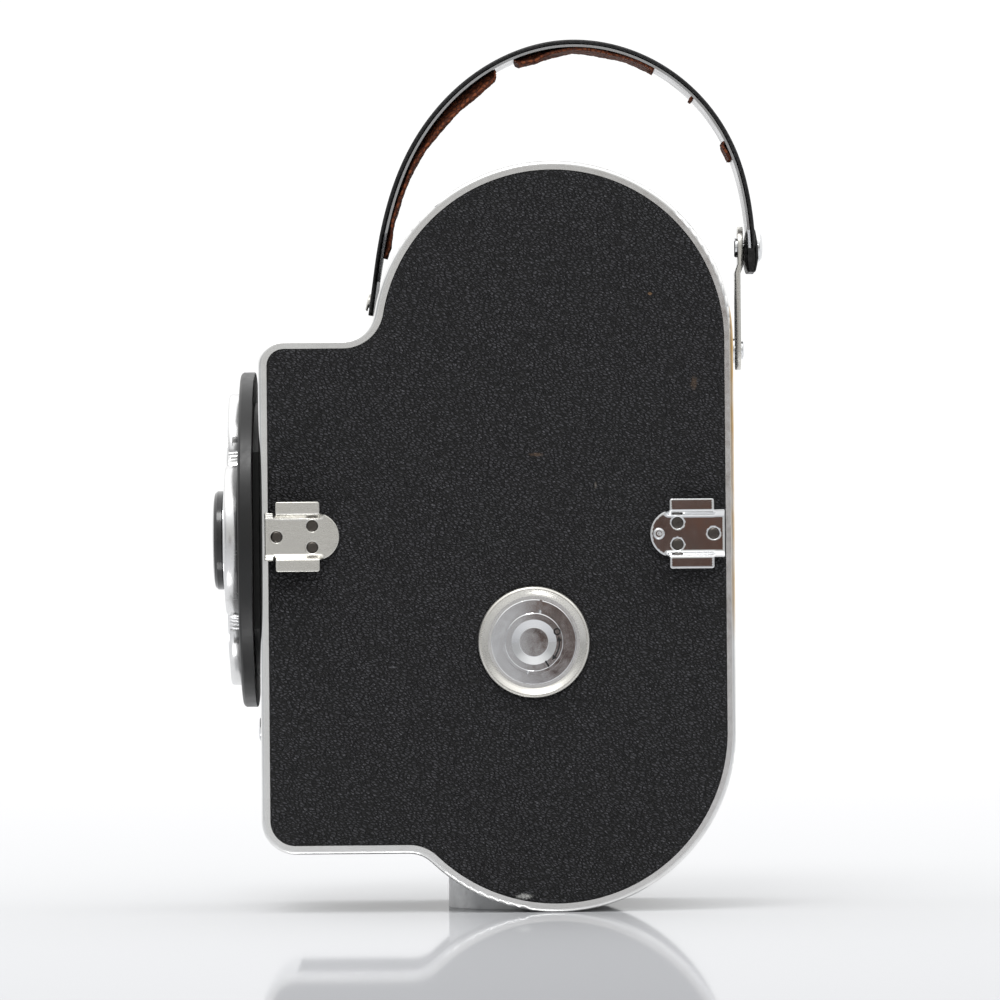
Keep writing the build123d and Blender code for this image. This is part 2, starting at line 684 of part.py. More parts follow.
def port_cap():
    """Black domed dust cap in the taking port."""
    rim = SEAT_Y - 0.1
    cap = turned_y(
        [
            (0, rim + 3.2), (PORT_RADIUS - 0.1, rim + 3.2), (PORT_RADIUS - 0.1, rim), (14.0, rim),
            (14.3, rim - 0.3), (14.3, rim - 1.7), (13.6, rim - 2.5), (11.5, rim - 2.9),
            (6.0, rim - 3.1), (0, rim - 3.15),
        ],
        TAKING_X, TURRET_Z,
    )
    return cap - rod_y(PORT_RADIUS - 1.6, TAKING_X, TURRET_Z, rim + 4, rim + 0.3)


# Film door.


def clip_screw_places():
    """(Y, Z) of the six screws that hold the two finder clips."""
    front_y, front_z = FRONT_CLIP
    rear_y, rear_z = REAR_CLIP
    front = [(front_y + 3.4, front_z), (front_y + 13.7, front_z + 3.1), (front_y + 13.7, front_z - 3.1)]
    return front + [(rear_y - 3.2, rear_z), (rear_y - 13.6, rear_z + 3.1), (rear_y - 13.6, rear_z - 3.1)]


def clip_screw_shanks():
    """Shanks of the clip screws, through the door."""
    return Part() + [rod_x(1.0, place, DOOR_SKIN_X, 38.7) for place in clip_screw_places()]


def door_shell():
    """Film door casting: rounded rim, leather recess, light tongue and latch guides."""
    shell = case_slab(0, DOOR_SEAM_X, DOOR_X)
    shell = fillet(shell.faces().sort_by(Axis.X)[-1].outer_wire().edges(), RIM_ROUND)
    shell -= case_slab(RIM_WIDTH, DOOR_X - LEATHER_RECESS, DOOR_X + 1)
    shell -= case_slab(DOOR_WALL, DOOR_SEAM_X - 1, DOOR_SKIN_X)
    tongue = case_ring(TONGUE_INSET, DOOR_WALL, TONGUE_X, DOOR_SEAM_X)
    shell += tongue - block(20, 40, -74, -60, *SHUTTER_GAP_Z)
    for y0, y1 in [(-52, -40), (-20, -8), (22, 34), (42, 50)]:
        for z0, z1 in [(4.3, 5.8), (-5.8, -4.3)]:
            shell += block(33.4, DOOR_SKIN_X + 0.2, y0, y1, LOCK[1] + z0, LOCK[1] + z1)
    shell -= rod_x(3.0 + RUN_GAP, LOCK, 30, 40)
    return shell - clip_screw_shanks()


def door_leather():
    """Leather panel of the door."""
    sheet = case_slab(RIM_WIDTH + 0.05, DOOR_X - LEATHER_RECESS, DOOR_X - LEATHER_RECESS + LEATHER)
    sheet -= rod_x(16.1, LOCK, 36, 40)
    return sheet - clip_screw_shanks()


def finder_clip(place, direction):
    """Hat-section shoe for the finder; direction points from its square end to its round end."""
    edge_y, middle_z = place

    def along(start, end):
        """Y range measured from the square end."""
        return sorted((edge_y + direction * start, edge_y + direction * end))

    base_x = DOOR_X + 0.1
    round_r = 6.9
    plan = rectangle(*along(0, CLIP_LENGTH - round_r), middle_z - round_r, middle_z + round_r)
    plan += Pos(edge_y + direction * (CLIP_LENGTH - round_r), middle_z) * Circle(round_r)
    clip = slab(plan, base_x, base_x + 0.9)
    for side in (1, -1):
        wall = sorted((middle_z + side * 5.9, middle_z + side * 6.9))
        lip = sorted((middle_z + side * 5.9, middle_z + side * 10.1))
        clip += block(base_x, base_x + 1.9, *along(0, CLIP_LIPS[0]), *wall)
        clip += block(base_x, base_x + 3.0, *along(*CLIP_LIPS), *wall)
        clip += block(base_x + 2.1, base_x + 3.0, *along(*CLIP_LIPS), *lip)
    holes = [rod_x(1.55, place, 37, 40) for place in clip_screw_places()]
    return clip - holes


def front_finder_clip():
    """Front finder shoe."""
    return finder_clip(FRONT_CLIP, 1)


def rear_finder_clip():
    """Rear finder shoe, with its stop pin."""
    pin = (REAR_CLIP[0] - 19.0, REAR_CLIP[1])
    stop = turned_x([(38.5, 0), (38.5, 1.7), (40.1, 1.7), (40.5, 1.3), (40.5, 0)], pin)
    return finder_clip(REAR_CLIP, -1) + stop


def clip_screws():
    """Slotted screws of the finder shoes."""
    screws = []
    for place in clip_screw_places():
        head = turned_x([(38.1, 0), (38.1, 1.55), (38.8, 1.55), (39.0, 1.2), (39.05, 0)], place)
        slot = Pos(39.05, *place) * Rot(35, 0, 0) * Box(0.6, 4, 0.45)
        screws.append(head + rod_x(1.0, place, DOOR_SKIN_X, 38.3) - slot)
    return Part() + screws


def lock_escutcheon():
    """Dished ring round the door lock."""
    return turned_x(
        [
            (37.1, 13.3), (37.1, 16.1), (38.5, 16.1), (39.1, 15.9), (39.5, 15.4), (39.5, 15.1),
            (39.2, 14.5), (38.8, 13.8), (38.6, 13.3),
        ],
        LOCK,
    )


def lock_half(offset, sign):
    """Tool that keeps one side of the lock's split line, from a distance off it."""
    half = Pos(sign * (15 + offset), 0) * Rectangle(30, 60)
    return slab(Pos(*LOCK) * Rot(0, 0, LOCK_SPLIT_ANGLE - 90) * half, 30, 45)


def lock_pins(radius, inner, outer):
    """The grip's two pivot pins, along the split line."""
    pin = turned_y([(0, inner), (radius, inner), (radius, outer), (0, outer)], 0, 0)
    tilt = Pos(38.42, *LOCK) * Rot(LOCK_SPLIT_ANGLE - 90, 0, 0)
    return tilt * Rot(90, 0, 0) * pin + tilt * Rot(-90, 0, 0) * pin


def lock_knob():
    """Turning lock: dished centre, one fixed half ring, shaft and cam."""
    knob = turned_x(
        [
            (33.2, 0), (33.2, 7.0), (34.9, 7.0), (34.9, 3.0), (37.4, 3.0), (37.4, 12.3), (37.7, 12.3),
            (37.7, 8.4), (38.9, 8.4), (39.0, 8.2), (39.0, 6.5), (38.3, 4.3), (38.35, 4.1), (38.35, 0),
        ],
        LOCK,
    )
    ring = turned_x([(37.6, 9.2), (37.6, 12.3), (38.75, 12.3), (38.9, 12.1), (38.9, 9.2)], LOCK)
    knob += ring & lock_half(0.8, -1)
    return knob - lock_pins(0.45, 7.6, 8.6)


def lock_grip():
    """Half ring that folds out of the lock as a finger grip."""
    ring = turned_x([(37.95, 9.3), (37.95, 12.2), (38.75, 12.2), (38.9, 12.0), (38.9, 9.3)], LOCK)
    return (ring & lock_half(0.0, 1)) + lock_pins(0.4, 7.8, 9.5)


def latch_bar(sign, inner, outer, hook):
    """Latch bar behind the door, with a hook that reaches under the case's catch."""
    def span(start, end):
        """Y range between two places."""
        return sorted((start, end))

    hook_z = (LOCK[1] - HOOK_HALF_WIDTH, LOCK[1] + HOOK_HALF_WIDTH)
    bar = block(*LATCH_X, *span(inner, outer), LOCK[1] - 4, LOCK[1] + 4)
    bar += block(HOOK_X[0], LATCH_X[1], *span(outer - sign * 2.3, outer), *hook_z)
    return bar + block(*HOOK_X, *span(outer - sign * 2.3, hook), *hook_z)


# Handle.


def handle_edge(depth):
    """Line of the strap at a depth under its outer edge, from front to rear."""
    outer = Spline(*HANDLE_POINTS)
    points = []
    for step in range(17):
        place = outer @ (step / 16)
        run = outer % (step / 16)
        points.append((place.X + depth * run.Y, place.Y - depth * run.X))
    return points


def handle_layer(top, bottom, half_width):
    """One layer of the strap between two depths, tapering to a tab at each end."""
    upper = handle_edge(top)
    lower = handle_edge(bottom)
    face = make_face(
        [
            Spline(*upper),
            Line(upper[-1], lower[-1]),
            Spline(*reversed(lower)),
            Line(lower[0], upper[0]),
        ]
    )
    layer = slab(face, -half_width, half_width)
    low, high = STRAP_Z
    plan = make_face(
        Polyline(
            (-TAB_HALF_WIDTH, low), (-TAB_HALF_WIDTH, TAB_TOP_Z), (-half_width, TAPER_TOP_Z),
            (-half_width, high), (half_width, high), (half_width, TAPER_TOP_Z),
            (TAB_HALF_WIDTH, TAB_TOP_Z), (TAB_HALF_WIDTH, low), close=True,
        )
    )
    return layer & slab_y(plan, 90, -60)


def below(y0, y1, z):
    """Tool that takes away what is under a height, over a range of Y."""
    return block(-20, 20, y0, y1, STRAP_Z[0], z)


def handle_wrap():
    """Leather folded round the rear end of the strap."""
    return block(-9.5, 9.5, 67.75, 72.2, 186.8, 197.6)


def handle_band():
    """Steel band inside the strap."""
    band = handle_layer(STRAP_LEATHER, STRAP_LEATHER + STRAP_BAND, STRAP_HALF_WIDTH - 0.4)
    band -= below(60, 80, BAND_END_Z)
    band -= anchor_rod(2.0, -2, 6)
    return band - rod_y(1.5, 0, LINK_RIVET_Z, 80, 60)


def handle_strap():
    """Leather of the strap, over the band and round its rear end."""
    strap = handle_layer(0, STRAP_LEATHER, STRAP_HALF_WIDTH)
    strap -= below(60, 80, STRAP_END_Z)
    strap += handle_wrap() - handle_band()
    strap -= anchor_rod(2.0, -2, 6)
    return strap - rod_y(1.5, 0, LINK_RIVET_Z, 80, 60)


def handle_lining():
    """Leather lining under the band."""
    top = STRAP_LEATHER + STRAP_BAND
    lining = handle_layer(top, top + STRAP_LINING, STRAP_HALF_WIDTH - 1)
    return lining - below(-60, 60, LINING_END_Z[0]) - below(60, 80, LINING_END_Z[1])


def handle_link():
    """Cranked steel link from the strap to the rear of the case."""
    side = make_face(
        Polyline(
            (65.3, 155), (66.9, 155), (66.9, 184.5), (67.75, 187), (67.75, 199), (66.15, 199),
            (66.15, 187.4), (65.3, 184.9), close=True,
        )
    )
    middle = (LINK_STUD_Z + LINK_RIVET_Z) / 2
    plan = Pos(0, middle) * SlotOverall(LINK_RIVET_Z - LINK_STUD_Z + 12, 12, 90)
    link = slab(side, -6, 6) & slab_y(plan, 80, 60)
    link -= rod_y(2.0, 0, LINK_STUD_Z, 70, 60)
    return link - rod_y(1.5, 0, LINK_RIVET_Z, 70, 60)


def link_rivet():
    """Rivet that joins the strap to the link."""
    return turned_y(
        [
            (0, 65.2), (2.6, 65.2), (3.0, 65.5), (3.0, 66.15), (1.5, 66.15), (1.5, 72.2),
            (4.3, 72.2), (4.3, 72.7), (3.4, 73.3), (1.8, 73.6), (0, 73.6),
        ],
        0, LINK_RIVET_Z,
    )


def link_stud():
    """Stud with a spacer that holds the link to the rear of the case."""
    seat = REAR_Y - BAND_DEPTH
    return turned_y(
        [
            (0, 60.0), (1.5, 60.0), (1.5, seat), (4.0, seat), (4.0, 65.1), (1.5, 65.1),
            (1.5, 67.1), (2.8, 67.1), (2.8, 67.5), (2.2, 67.8), (0, 67.8),
        ],
        0, LINK_STUD_Z,
    )


def anchor_rivet():
    """Rivet that holds the front end of the strap."""
    shank = anchor_rod(1.5, -3.5, 3.0) + anchor_rod(3.4, -BAND_DEPTH, 0.1)
    head = anchor_rod(2.5, 2.78, 3.5)
    head = chamfer(head.edges().group_by(Axis.Y)[0], 0.3)
    return shank + head


# Mechanism side and front controls.


def winding_arbor():
    """Winding arbor, through the spring barrel to the hub."""
    return rod_x(ARBOR_RADIUS, BARREL, 5.8, -38.6)


def winding_hub():
    """Slotted hub for the folding crank, on the end of the arbor."""
    place = BARREL
    hub = turned_x([(-38.6, 0), (-38.6, 13.0), (-44.0, 13.0), (-44.6, 12.4), (-44.6, 0)], place)
    hub -= block(-46, -40.0, place[0] - 4.3, place[0] + 4.3, place[1] - 20, place[1] + 20)
    return hub - crank_pin(1.2 + RUN_GAP, 9.0)


def crank_pin(radius, half_length):
    """Pivot pin of the crank, along Y."""
    return rod_y(radius, -42.6, BARREL[1], BARREL[0] + half_length, BARREL[0] - half_length)


def crank_arm():
    """Folding winding crank, lying flat along the case, with the pin for its knob."""
    y, z = BARREL
    side = rectangle(-44.1, -41.1, z - 44, z)
    side += Pos(-42.6, z) * Circle(1.5)
    arm = slab_y(side, y + 4.0, y - 4.0)
    arm += rod_x(4.0, (y, z - 44), -44.1, -41.1)
    arm += crank_pin(1.2, 8.6)
    arm += rod_x(1.8, (y, z - 44), -57.6, -43)
    return arm + rod_x(3.0, (y, z - 44), -58.6, -57.4)


def crank_knob():
    """Turning knob of the crank."""
    profile = [(-44.4, 1.85), (-44.4, 4.6), (-46, 5.6), (-54, 6.2), (-57.1, 5.0), (-57.1, 1.85)]
    return turned_x(profile, (BARREL[0], BARREL[1] - 44))


def speed_knob():
    """Film speed dial with a pointer groove, on its shaft."""
    knob = turned_x(
        [
            (-33.4, 0), (-33.4, SHAFT_RADIUS), (-33.6, SHAFT_RADIUS), (-33.6, 5.0), (-35.3, 5.0),
            (-35.3, SHAFT_RADIUS), (-38.5, SHAFT_RADIUS), (-38.5, 10.0), (-40.4, 10.0),
            (-40.9, 9.4), (-40.9, 8.4), (-45.0, 8.4), (-45.0, 0),
        ],
        SPEED_KNOB,
    )
    y, z = SPEED_KNOB
    flutes = []
    for step in range(18):
        angle = radians(20 * step + 10)
        flutes.append(rod_x(0.8, (y + 8.7 * cos(angle), z + 8.7 * sin(angle)), -46, -41.2))
    return knob - flutes - block(-46, -44.4, y - 0.5, y + 0.5, z + 2, z + 9)


def counter_bezel():
    """Bezel of the film counter."""
    return turned_x(
        [(-37.1, 11.6), (-37.1, 13.5), (-39.0, 13.5), (-39.4, 13.0), (-39.4, 11.9), (-39.1, 11.6)],
        COUNTER,
    )


def counter_window():
    """Window of the film counter."""
    return rod_x(11.6, COUNTER, -38.9, -38.1)


def counter_dial():
    """Film counter dial with ten index marks, on its shaft."""
    dial = rod_x(10.8, COUNTER, -37.7, -36.9)
    dial += rod_x(1.5, COUNTER, -37, -34.2)
    dial += rod_x(3.0, COUNTER, -35.3, -34.2)
    y, z = COUNTER
    marks = []
    for step in range(10):
        mark = Pos(-37.7, y, z) * Rot(36 * step, 0, 0) * Pos(0, 8.6, 0) * Box(0.4, 2.4, 0.5)
        marks.append(mark)
    return dial - marks


def release_bezel():
    """Guard ring of the release button."""
    seat = FRONT_Y + BAND_DEPTH
    profile = [(3.9, seat), (6.6, seat), (6.6, -74.7), (6.0, -75.2), (3.9, -75.2)]
    return turned_y(profile, *RELEASE)


def release_button():
    """Release button with its stem and inner collar."""
    profile = [
        (0, -66.5), (2.2, -66.5), (2.2, -69.9), (4.0, -69.9), (4.0, -70.9), (2.2, -70.9),
        (2.2, -74.9), (3.6, -74.9), (3.6, -75.6), (2.8, -76.0), (1.4, -76.2), (0, -76.25),
    ]
    return turned_y(profile, *RELEASE)


parts = {
    "body_shell": body_shell(),
    "band_leather": band_leather(),
    "front_leather": front_leather(),
    "side_leather": side_leather(),
    "base_foot": base_foot(),
    "foot_screws": foot_screws(),
    "tripod_bush": tripod_bush(),
    "door_seal": door_seal(),
    "deck_plate": deck_plate(),
    "idler_gear": idler_gear(),
    "feed_sprocket": sprocket(FEED, 90.0),
    "takeup_sprocket": sprocket(TAKEUP, -90.0),
    "mainspring_barrel": mainspring_barrel(),
    "barrel_cover": barrel_cover(),
    "mainspring": mainspring(),
    "governor": governor(),
    "shutter": shutter(),
    "shutter_bracket": shutter_bracket(),
    "pulldown_claw": claw(),
    "aperture_plate": aperture_plate(),
    "pressure_plate": pressure_plate(),
    "gate_bracket": gate_bracket(),
    "film_guides": film_guides(),
    "supply_spindle": spindle(UPPER_ARC_Z, 6.5),
    "takeup_spindle": spindle(LOWER_ARC_Z, 12.0),
    "supply_spool": spool(UPPER_ARC_Z),
    "takeup_spool": spool(LOWER_ARC_Z),
    "turret_base": turret_base(),
    "turret_plate": turret_plate(),
    "lens_seat_rings": lens_seat_rings(),
    "turret_screw": turret_screw(),
    "port_cap": port_cap(),
    "door_shell": door_shell(),
    "door_leather": door_leather(),
    "front_finder_clip": front_finder_clip(),
    "rear_finder_clip": rear_finder_clip(),
    "clip_screws": clip_screws(),
    "lock_escutcheon": lock_escutcheon(),
    "lock_knob": lock_knob(),
    "lock_grip": lock_grip(),
    "latch_bar_front": latch_bar(-1, LOCK[0] - 8.0, -64.3, -66.5),
    "latch_bar_rear": latch_bar(1, LOCK[0] + 8.0, 54.4, 56.6),
    "handle_strap": handle_strap(),
    "handle_band": handle_band(),
    "handle_lining": handle_lining(),
    "handle_link": handle_link(),
    "link_rivet": link_rivet(),
    "link_stud": link_stud(),
    "anchor_rivet": anchor_rivet(),
    "winding_arbor": winding_arbor(),
    "winding_hub": winding_hub(),
    "crank_arm": crank_arm(),
    "crank_knob": crank_knob(),
    "speed_knob": speed_knob(),
    "counter_bezel": counter_bezel(),
    "counter_window": counter_window(),
    "counter_dial": counter_dial(),
    "release_bezel": release_bezel(),
    "release_button": release_button(),
}

os.makedirs("parts", exist_ok=True)
for node, shape in parts.items():
    export_step(shape, f"parts/{node}.step")
print(f"{len(parts)} nodes written")
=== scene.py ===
import logging
import math
from dataclasses import dataclass
from enum import Enum
from typing import Callable, Dict, List, Optional, Sequence, Tuple

import bmesh
import bpy
import numpy as np
from mathutils import Matrix, Vector, geometry, kdtree


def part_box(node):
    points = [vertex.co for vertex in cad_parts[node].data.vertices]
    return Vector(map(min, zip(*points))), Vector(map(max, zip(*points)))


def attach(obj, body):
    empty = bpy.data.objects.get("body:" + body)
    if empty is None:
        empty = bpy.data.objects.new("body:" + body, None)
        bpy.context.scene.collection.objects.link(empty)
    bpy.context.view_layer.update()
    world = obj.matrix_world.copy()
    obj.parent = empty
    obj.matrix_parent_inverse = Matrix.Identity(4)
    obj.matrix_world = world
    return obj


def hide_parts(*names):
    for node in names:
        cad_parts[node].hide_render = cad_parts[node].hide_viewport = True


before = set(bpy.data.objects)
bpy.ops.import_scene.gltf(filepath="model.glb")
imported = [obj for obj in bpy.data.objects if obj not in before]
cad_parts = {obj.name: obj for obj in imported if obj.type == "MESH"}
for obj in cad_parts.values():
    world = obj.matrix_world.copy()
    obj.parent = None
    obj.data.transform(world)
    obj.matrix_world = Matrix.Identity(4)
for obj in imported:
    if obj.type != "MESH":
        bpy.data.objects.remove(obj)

# Looks of a spring-wound 16 mm cine camera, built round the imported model. Lengths are millimetres until a
# mesh is made, and metres after that. The film door faces +X, the lens ports face -Y and +Z is up.

MM = 0.001
LOG = logging.getLogger("cine_camera")
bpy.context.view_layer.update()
Point = Tuple[float, float]
Mapping3 = Callable[[np.ndarray, np.ndarray, np.ndarray], np.ndarray]


# Colour, nodes and meshes.


def linear(hex_colour: str) -> Tuple[float, float, float, float]:
    """Turn an sRGB hex colour to linear.

    Args:
        hex_colour: six hex digits after a hash.

    Returns:
        Red, green, blue and an alpha of one.
    """
    values = [int(hex_colour[i:i + 2], 16) / 255 for i in (1, 3, 5)]
    red, green, blue = [v / 12.92 if v <= 0.04045 else ((v + 0.055) / 1.055) ** 2.4 for v in values]
    return red, green, blue, 1.0


def add(
    tree: bpy.types.NodeTree,
    kind: str,
    values: Optional[dict] = None,
    links: Optional[dict] = None,
    **settings: object,
) -> bpy.types.Node:
    """Add one node.

    Args:
        tree: node tree that takes it.
        kind: Blender's name of the node type.
        values: socket name or index to constant value.
        links: socket name or index to the output that feeds it.
        settings: attributes of the node itself.

    Returns:
        The new node.
    """
    made = tree.nodes.new(kind)
    for name, value in settings.items():
        setattr(made, name, value)
    for socket, value in (values or {}).items():
        made.inputs[socket].default_value = value
    for socket, source in (links or {}).items():
        tree.links.new(source, made.inputs[socket])
    return made


def ramp(
    tree: bpy.types.NodeTree, source: bpy.types.NodeSocket, stops: Sequence[Tuple[float, str]]
) -> bpy.types.NodeSocket:
    """Colour a value by a ramp.

    Args:
        tree: node tree that takes the nodes.
        source: output that holds the value.
        stops: place on the ramp and hex colour of each stop.

    Returns:
        The colour output.
    """
    made = add(tree, "ShaderNodeValToRGB", links={"Fac": source})
    elements = made.color_ramp.elements
    elements.remove(elements[1])
    elements[0].position, elements[0].color = stops[0][0], linear(stops[0][1])
    for place, colour in stops[1:]:
        elements.new(place).color = linear(colour)
    return made.outputs["Color"]


def spread(
    tree: bpy.types.NodeTree,
    source: bpy.types.NodeSocket,
    low: float,
    high: float,
    to_low: float,
    to_high: float,
) -> bpy.types.NodeSocket:
    """Carry a value from one range to another, held at the ends.

    Args:
        tree: node tree that takes the nodes.
        source: output that holds the value.
        low, high: range that it comes from.
        to_low, to_high: range that it goes to.

    Returns:
        The output that holds the new value.
    """
    made = add(
        tree, "ShaderNodeMapRange",
        {"From Min": low, "From Max": high, "To Min": to_low, "To Max": to_high}, {"Value": source},
    )
    return made.outputs["Result"]


def mix(
    tree: bpy.types.NodeTree, factor: bpy.types.NodeSocket, first: object, second: object
) -> bpy.types.NodeSocket:
    """Mix two colours.

    Args:
        tree: node tree that takes the nodes.
        factor: output that holds the share of the second colour.
        first, second: a hex string or a colour output each.

    Returns:
        The colour output.
    """
    made = add(tree, "ShaderNodeMix", links={"Factor": factor}, data_type="RGBA")
    for socket, colour in (("A", first), ("B", second)):
        target = [s for s in made.inputs if s.name == socket and s.type == "RGBA"][0]
        if isinstance(colour, str):
            target.default_value = linear(colour)
        else:
            tree.links.new(colour, target)
    return [s for s in made.outputs if s.type == "RGBA"][0]


def stretched(
    tree: bpy.types.NodeTree, size_mm: Tuple[float, float, float], slant: float = 0.0
) -> bpy.types.NodeSocket:
    """Position on the part, counted in steps of a pattern's real size.

    Args:
        tree: node tree that takes the nodes.
        size_mm: real size of the pattern along X, Y and Z.
        slant: degrees that the pattern is turned about X.

    Returns:
        The output that holds the position, one unit to a step of the pattern.
    """
    place = add(tree, "ShaderNodeTexCoord").outputs["Object"]
    turned = add(
        tree, "ShaderNodeVectorRotate", {"Angle": math.radians(slant)}, {"Vector": place},
        rotation_type="X_AXIS",
    )
    scale = tuple(1 / (size * MM) for size in size_mm)
    mapped = add(tree, "ShaderNodeMapping", {"Scale": scale}, {"Vector": turned.outputs["Vector"]})
    return mapped.outputs["Vector"]


def mesh_piece(
    name: str,
    points: np.ndarray,
    faces: Sequence[Sequence[int]],
    material: bpy.types.Material,
    smooth: bool = True,
) -> bpy.types.Object:
    """Make a mesh object from millimetre points.

    Args:
        name: name of the piece.
        points: one row of X, Y and Z per point.
        faces: point numbers of each face.
        material: its finish.
        smooth: whether the faces are shaded smooth.

    Returns:
        The object, linked to the scene.
    """
    mesh = bpy.data.meshes.new(name)
    mesh.from_pydata((np.asarray(points) * MM).tolist(), [], [list(face) for face in faces])
    mesh.validate()
    mesh.polygons.foreach_set("use_smooth", [smooth] * len(mesh.polygons))
    mesh.materials.append(material)
    mesh.update()
    piece = bpy.data.objects.new(name, mesh)
    bpy.context.scene.collection.objects.link(piece)
    return piece


def outward(piece: bpy.types.Object) -> None:
    """Turn every face of a closed piece outwards.

    Args:
        piece: mesh object to change.
    """
    work = bmesh.new()
    work.from_mesh(piece.data)
    bmesh.ops.recalc_face_normals(work, faces=work.faces)
    work.to_mesh(piece.data)
    work.free()
    piece.data.update()


def bake_modifiers(piece: bpy.types.Object) -> None:
    """Make the result of a piece's modifiers its own mesh.

    Args:
        piece: mesh object to change.
    """
    graph = bpy.context.evaluated_depsgraph_get()
    mesh = bpy.data.meshes.new_from_object(piece.evaluated_get(graph))
    piece.modifiers.clear()
    old = piece.data
    piece.data = mesh
    bpy.data.meshes.remove(old)


def place_piece(piece: bpy.types.Object, body: str, slot: str, *replaced: str) -> None:
    """Ride a piece on its body and hide the nodes that it stands for.

    Args:
        piece: finished object.
        body: body that carries it.
        slot: name of its material's slot; not used.
        replaced: nodes of the model that it stands for.
    """
    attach(piece, body)
    if replaced:
        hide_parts(*replaced)
    LOG.info("%s: %d points on %s", piece.name, len(piece.data.vertices), body)


def swept(rings: Sequence[np.ndarray], closed: bool = False) -> Tuple[np.ndarray, List[List[int]]]:
    """Skin a row of equal rings.

    Args:
        rings: points of each ring, in the same order.
        closed: whether the last ring joins the first.

    Returns:
        All points, and the faces, with a cap on each end of an open row.
    """
    count = len(rings[0])
    faces = []
    for row in range(len(rings) if closed else len(rings) - 1):
        after = (row + 1) % len(rings)
        for step in range(count):
            onward = (step + 1) % count
            faces.append([
                row * count + step, row * count + onward, after * count + onward, after * count + step
            ])
    if not closed:
        faces.append(list(range(count))[::-1])
        faces.append([(len(rings) - 1) * count + step for step in range(count)])
    return np.vstack(rings), faces


# Outlines.


def arc(centre: Point, radius: float, start: float, sweep: float, step: float) -> np.ndarray:
    """Points along an arc, without its last point, at about one step apart.

    Args:
        centre: middle of the arc.
        radius: its radius.
        start: angle of its first point in degrees.
        sweep: degrees that it turns through, anticlockwise when positive.
        step: about the distance between points.

    Returns:
        One row of two coordinates per point.
    """
    count = max(3, int(math.ceil(abs(math.radians(sweep)) * radius / step)))
    angles = np.radians(start + sweep * np.arange(count) / count)
    return np.column_stack([centre[0] + radius * np.cos(angles), centre[1] + radius * np.sin(angles)])


def run(start: Point, end: Point, step: float) -> np.ndarray:
    """Points along a straight run, without its last point, at about one step apart.

    Args:
        start, end: its two ends.
        step: about the distance between points.

    Returns:
        One row of two coordinates per point.
    """
    count = max(1, int(math.ceil(math.dist(start, end) / step)))
    share = (np.arange(count) / count)[:, None]
    return np.array(start) * (1 - share) + np.array(end) * share


def circle(centre: Point, radius: float, step: float = 0.8) -> np.ndarray:
    """Closed ring of points, running anticlockwise."""
    return arc(centre, radius, 0, 360, step)


def inset(loop: np.ndarray, depth: float) -> np.ndarray:
    """Move a closed anticlockwise loop inwards; a negative depth moves it outwards.

    Args:
        loop: one row of two coordinates per point.
        depth: distance that it moves.

    Returns:
        The moved loop, with as many points.
    """
    before = loop - np.roll(loop, 1, axis=0)
    after = np.roll(loop, -1, axis=0) - loop
    normals = []
    for edge in (before, after):
        length = np.maximum(np.linalg.norm(edge, axis=1, keepdims=True), 1e-9)
        normals.append(np.column_stack([-edge[:, 1], edge[:, 0]]) / length)
    middle = normals[0] + normals[1]
    middle /= np.maximum(np.linalg.norm(middle, axis=1, keepdims=True), 1e-9)
    lean = np.clip(np.sum(middle * normals[0], axis=1, keepdims=True), 0.5, 1)
    return loop + middle * depth / lean


@dataclass(frozen=True)
class CaseOutline:
    """The case seen from the door: two equal arcs, a flat back and a square front, in (Y, Z)."""

    arc_radius: float = 52.0
    arc_y: float = 11.5
    upper_arc_z: float = 164.5
    lower_arc_z: float = 52.0
    front_y: float = -73.5
    upper_step_z: float = 165.5
    lower_step_z: float = 17.2
    upper_corner: float = 7.5
    lower_corner: float = 9.8
    neck: float = 9.2

    def loop(self, depth: float, step: float) -> np.ndarray:
        """Closed anticlockwise loop of points.

        Args:
            depth: how far inside the outline.
            step: about the distance between points.

        Returns:
            One row of Y and Z per point, from the front bottom corner on.
        """
        radius = self.arc_radius - depth
        neck = self.neck + depth
        front, top, bottom = self.front_y + depth, self.upper_step_z - depth, self.lower_step_z + depth
        upper, lower = self.upper_corner - depth, self.lower_corner - depth
        reach = radius + neck
        rise = top + neck - self.upper_arc_z
        drop = self.lower_arc_z - (bottom - neck)
        upper_y = self.arc_y - math.sqrt(reach ** 2 - rise ** 2)
        lower_y = self.arc_y - math.sqrt(reach ** 2 - drop ** 2)
        up = 180 - math.degrees(math.asin(rise / reach))
        low = math.degrees(math.asin(drop / reach))
        rear = self.arc_y + radius
        return np.vstack([
            arc((front + lower, bottom + lower), lower, 180, 90, step),
            run((front + lower, bottom), (lower_y, bottom), step),
            arc((lower_y, bottom - neck), neck, 90, low - 90, step),
            arc((self.arc_y, self.lower_arc_z), radius, low + 180, 180 - low, step),
            run((rear, self.lower_arc_z), (rear, self.upper_arc_z), step),
            arc((self.arc_y, self.upper_arc_z), radius, 0, up, step),
            arc((upper_y, top + neck), neck, up - 180, 90 - up, step),
            run((upper_y, top), (front + upper, top), step),
            arc((front + upper, top - upper), upper, 90, 90, step),
            run((front, top - upper), (front, bottom + lower), step),
        ])


OUTLINE = CaseOutline()


def inside(loop: np.ndarray, points: np.ndarray) -> np.ndarray:
    """Whether each point is inside a closed loop, by counting crossings.

    Args:
        loop: one row of two coordinates per point of the loop.
        points: one row per point to test.

    Returns:
        One true or false per point.
    """
    found = np.zeros(len(points), dtype=bool)
    ends = np.roll(loop, -1, axis=0)
    for (u0, v0), (u1, v1) in zip(loop, ends):
        if v0 == v1:
            continue
        crosses = (points[:, 1] > v0) != (points[:, 1] > v1)
        at = u0 + (points[:, 1] - v0) * (u1 - u0) / (v1 - v0)
        found ^= crosses & (points[:, 0] < at)
    return found


# Relief.


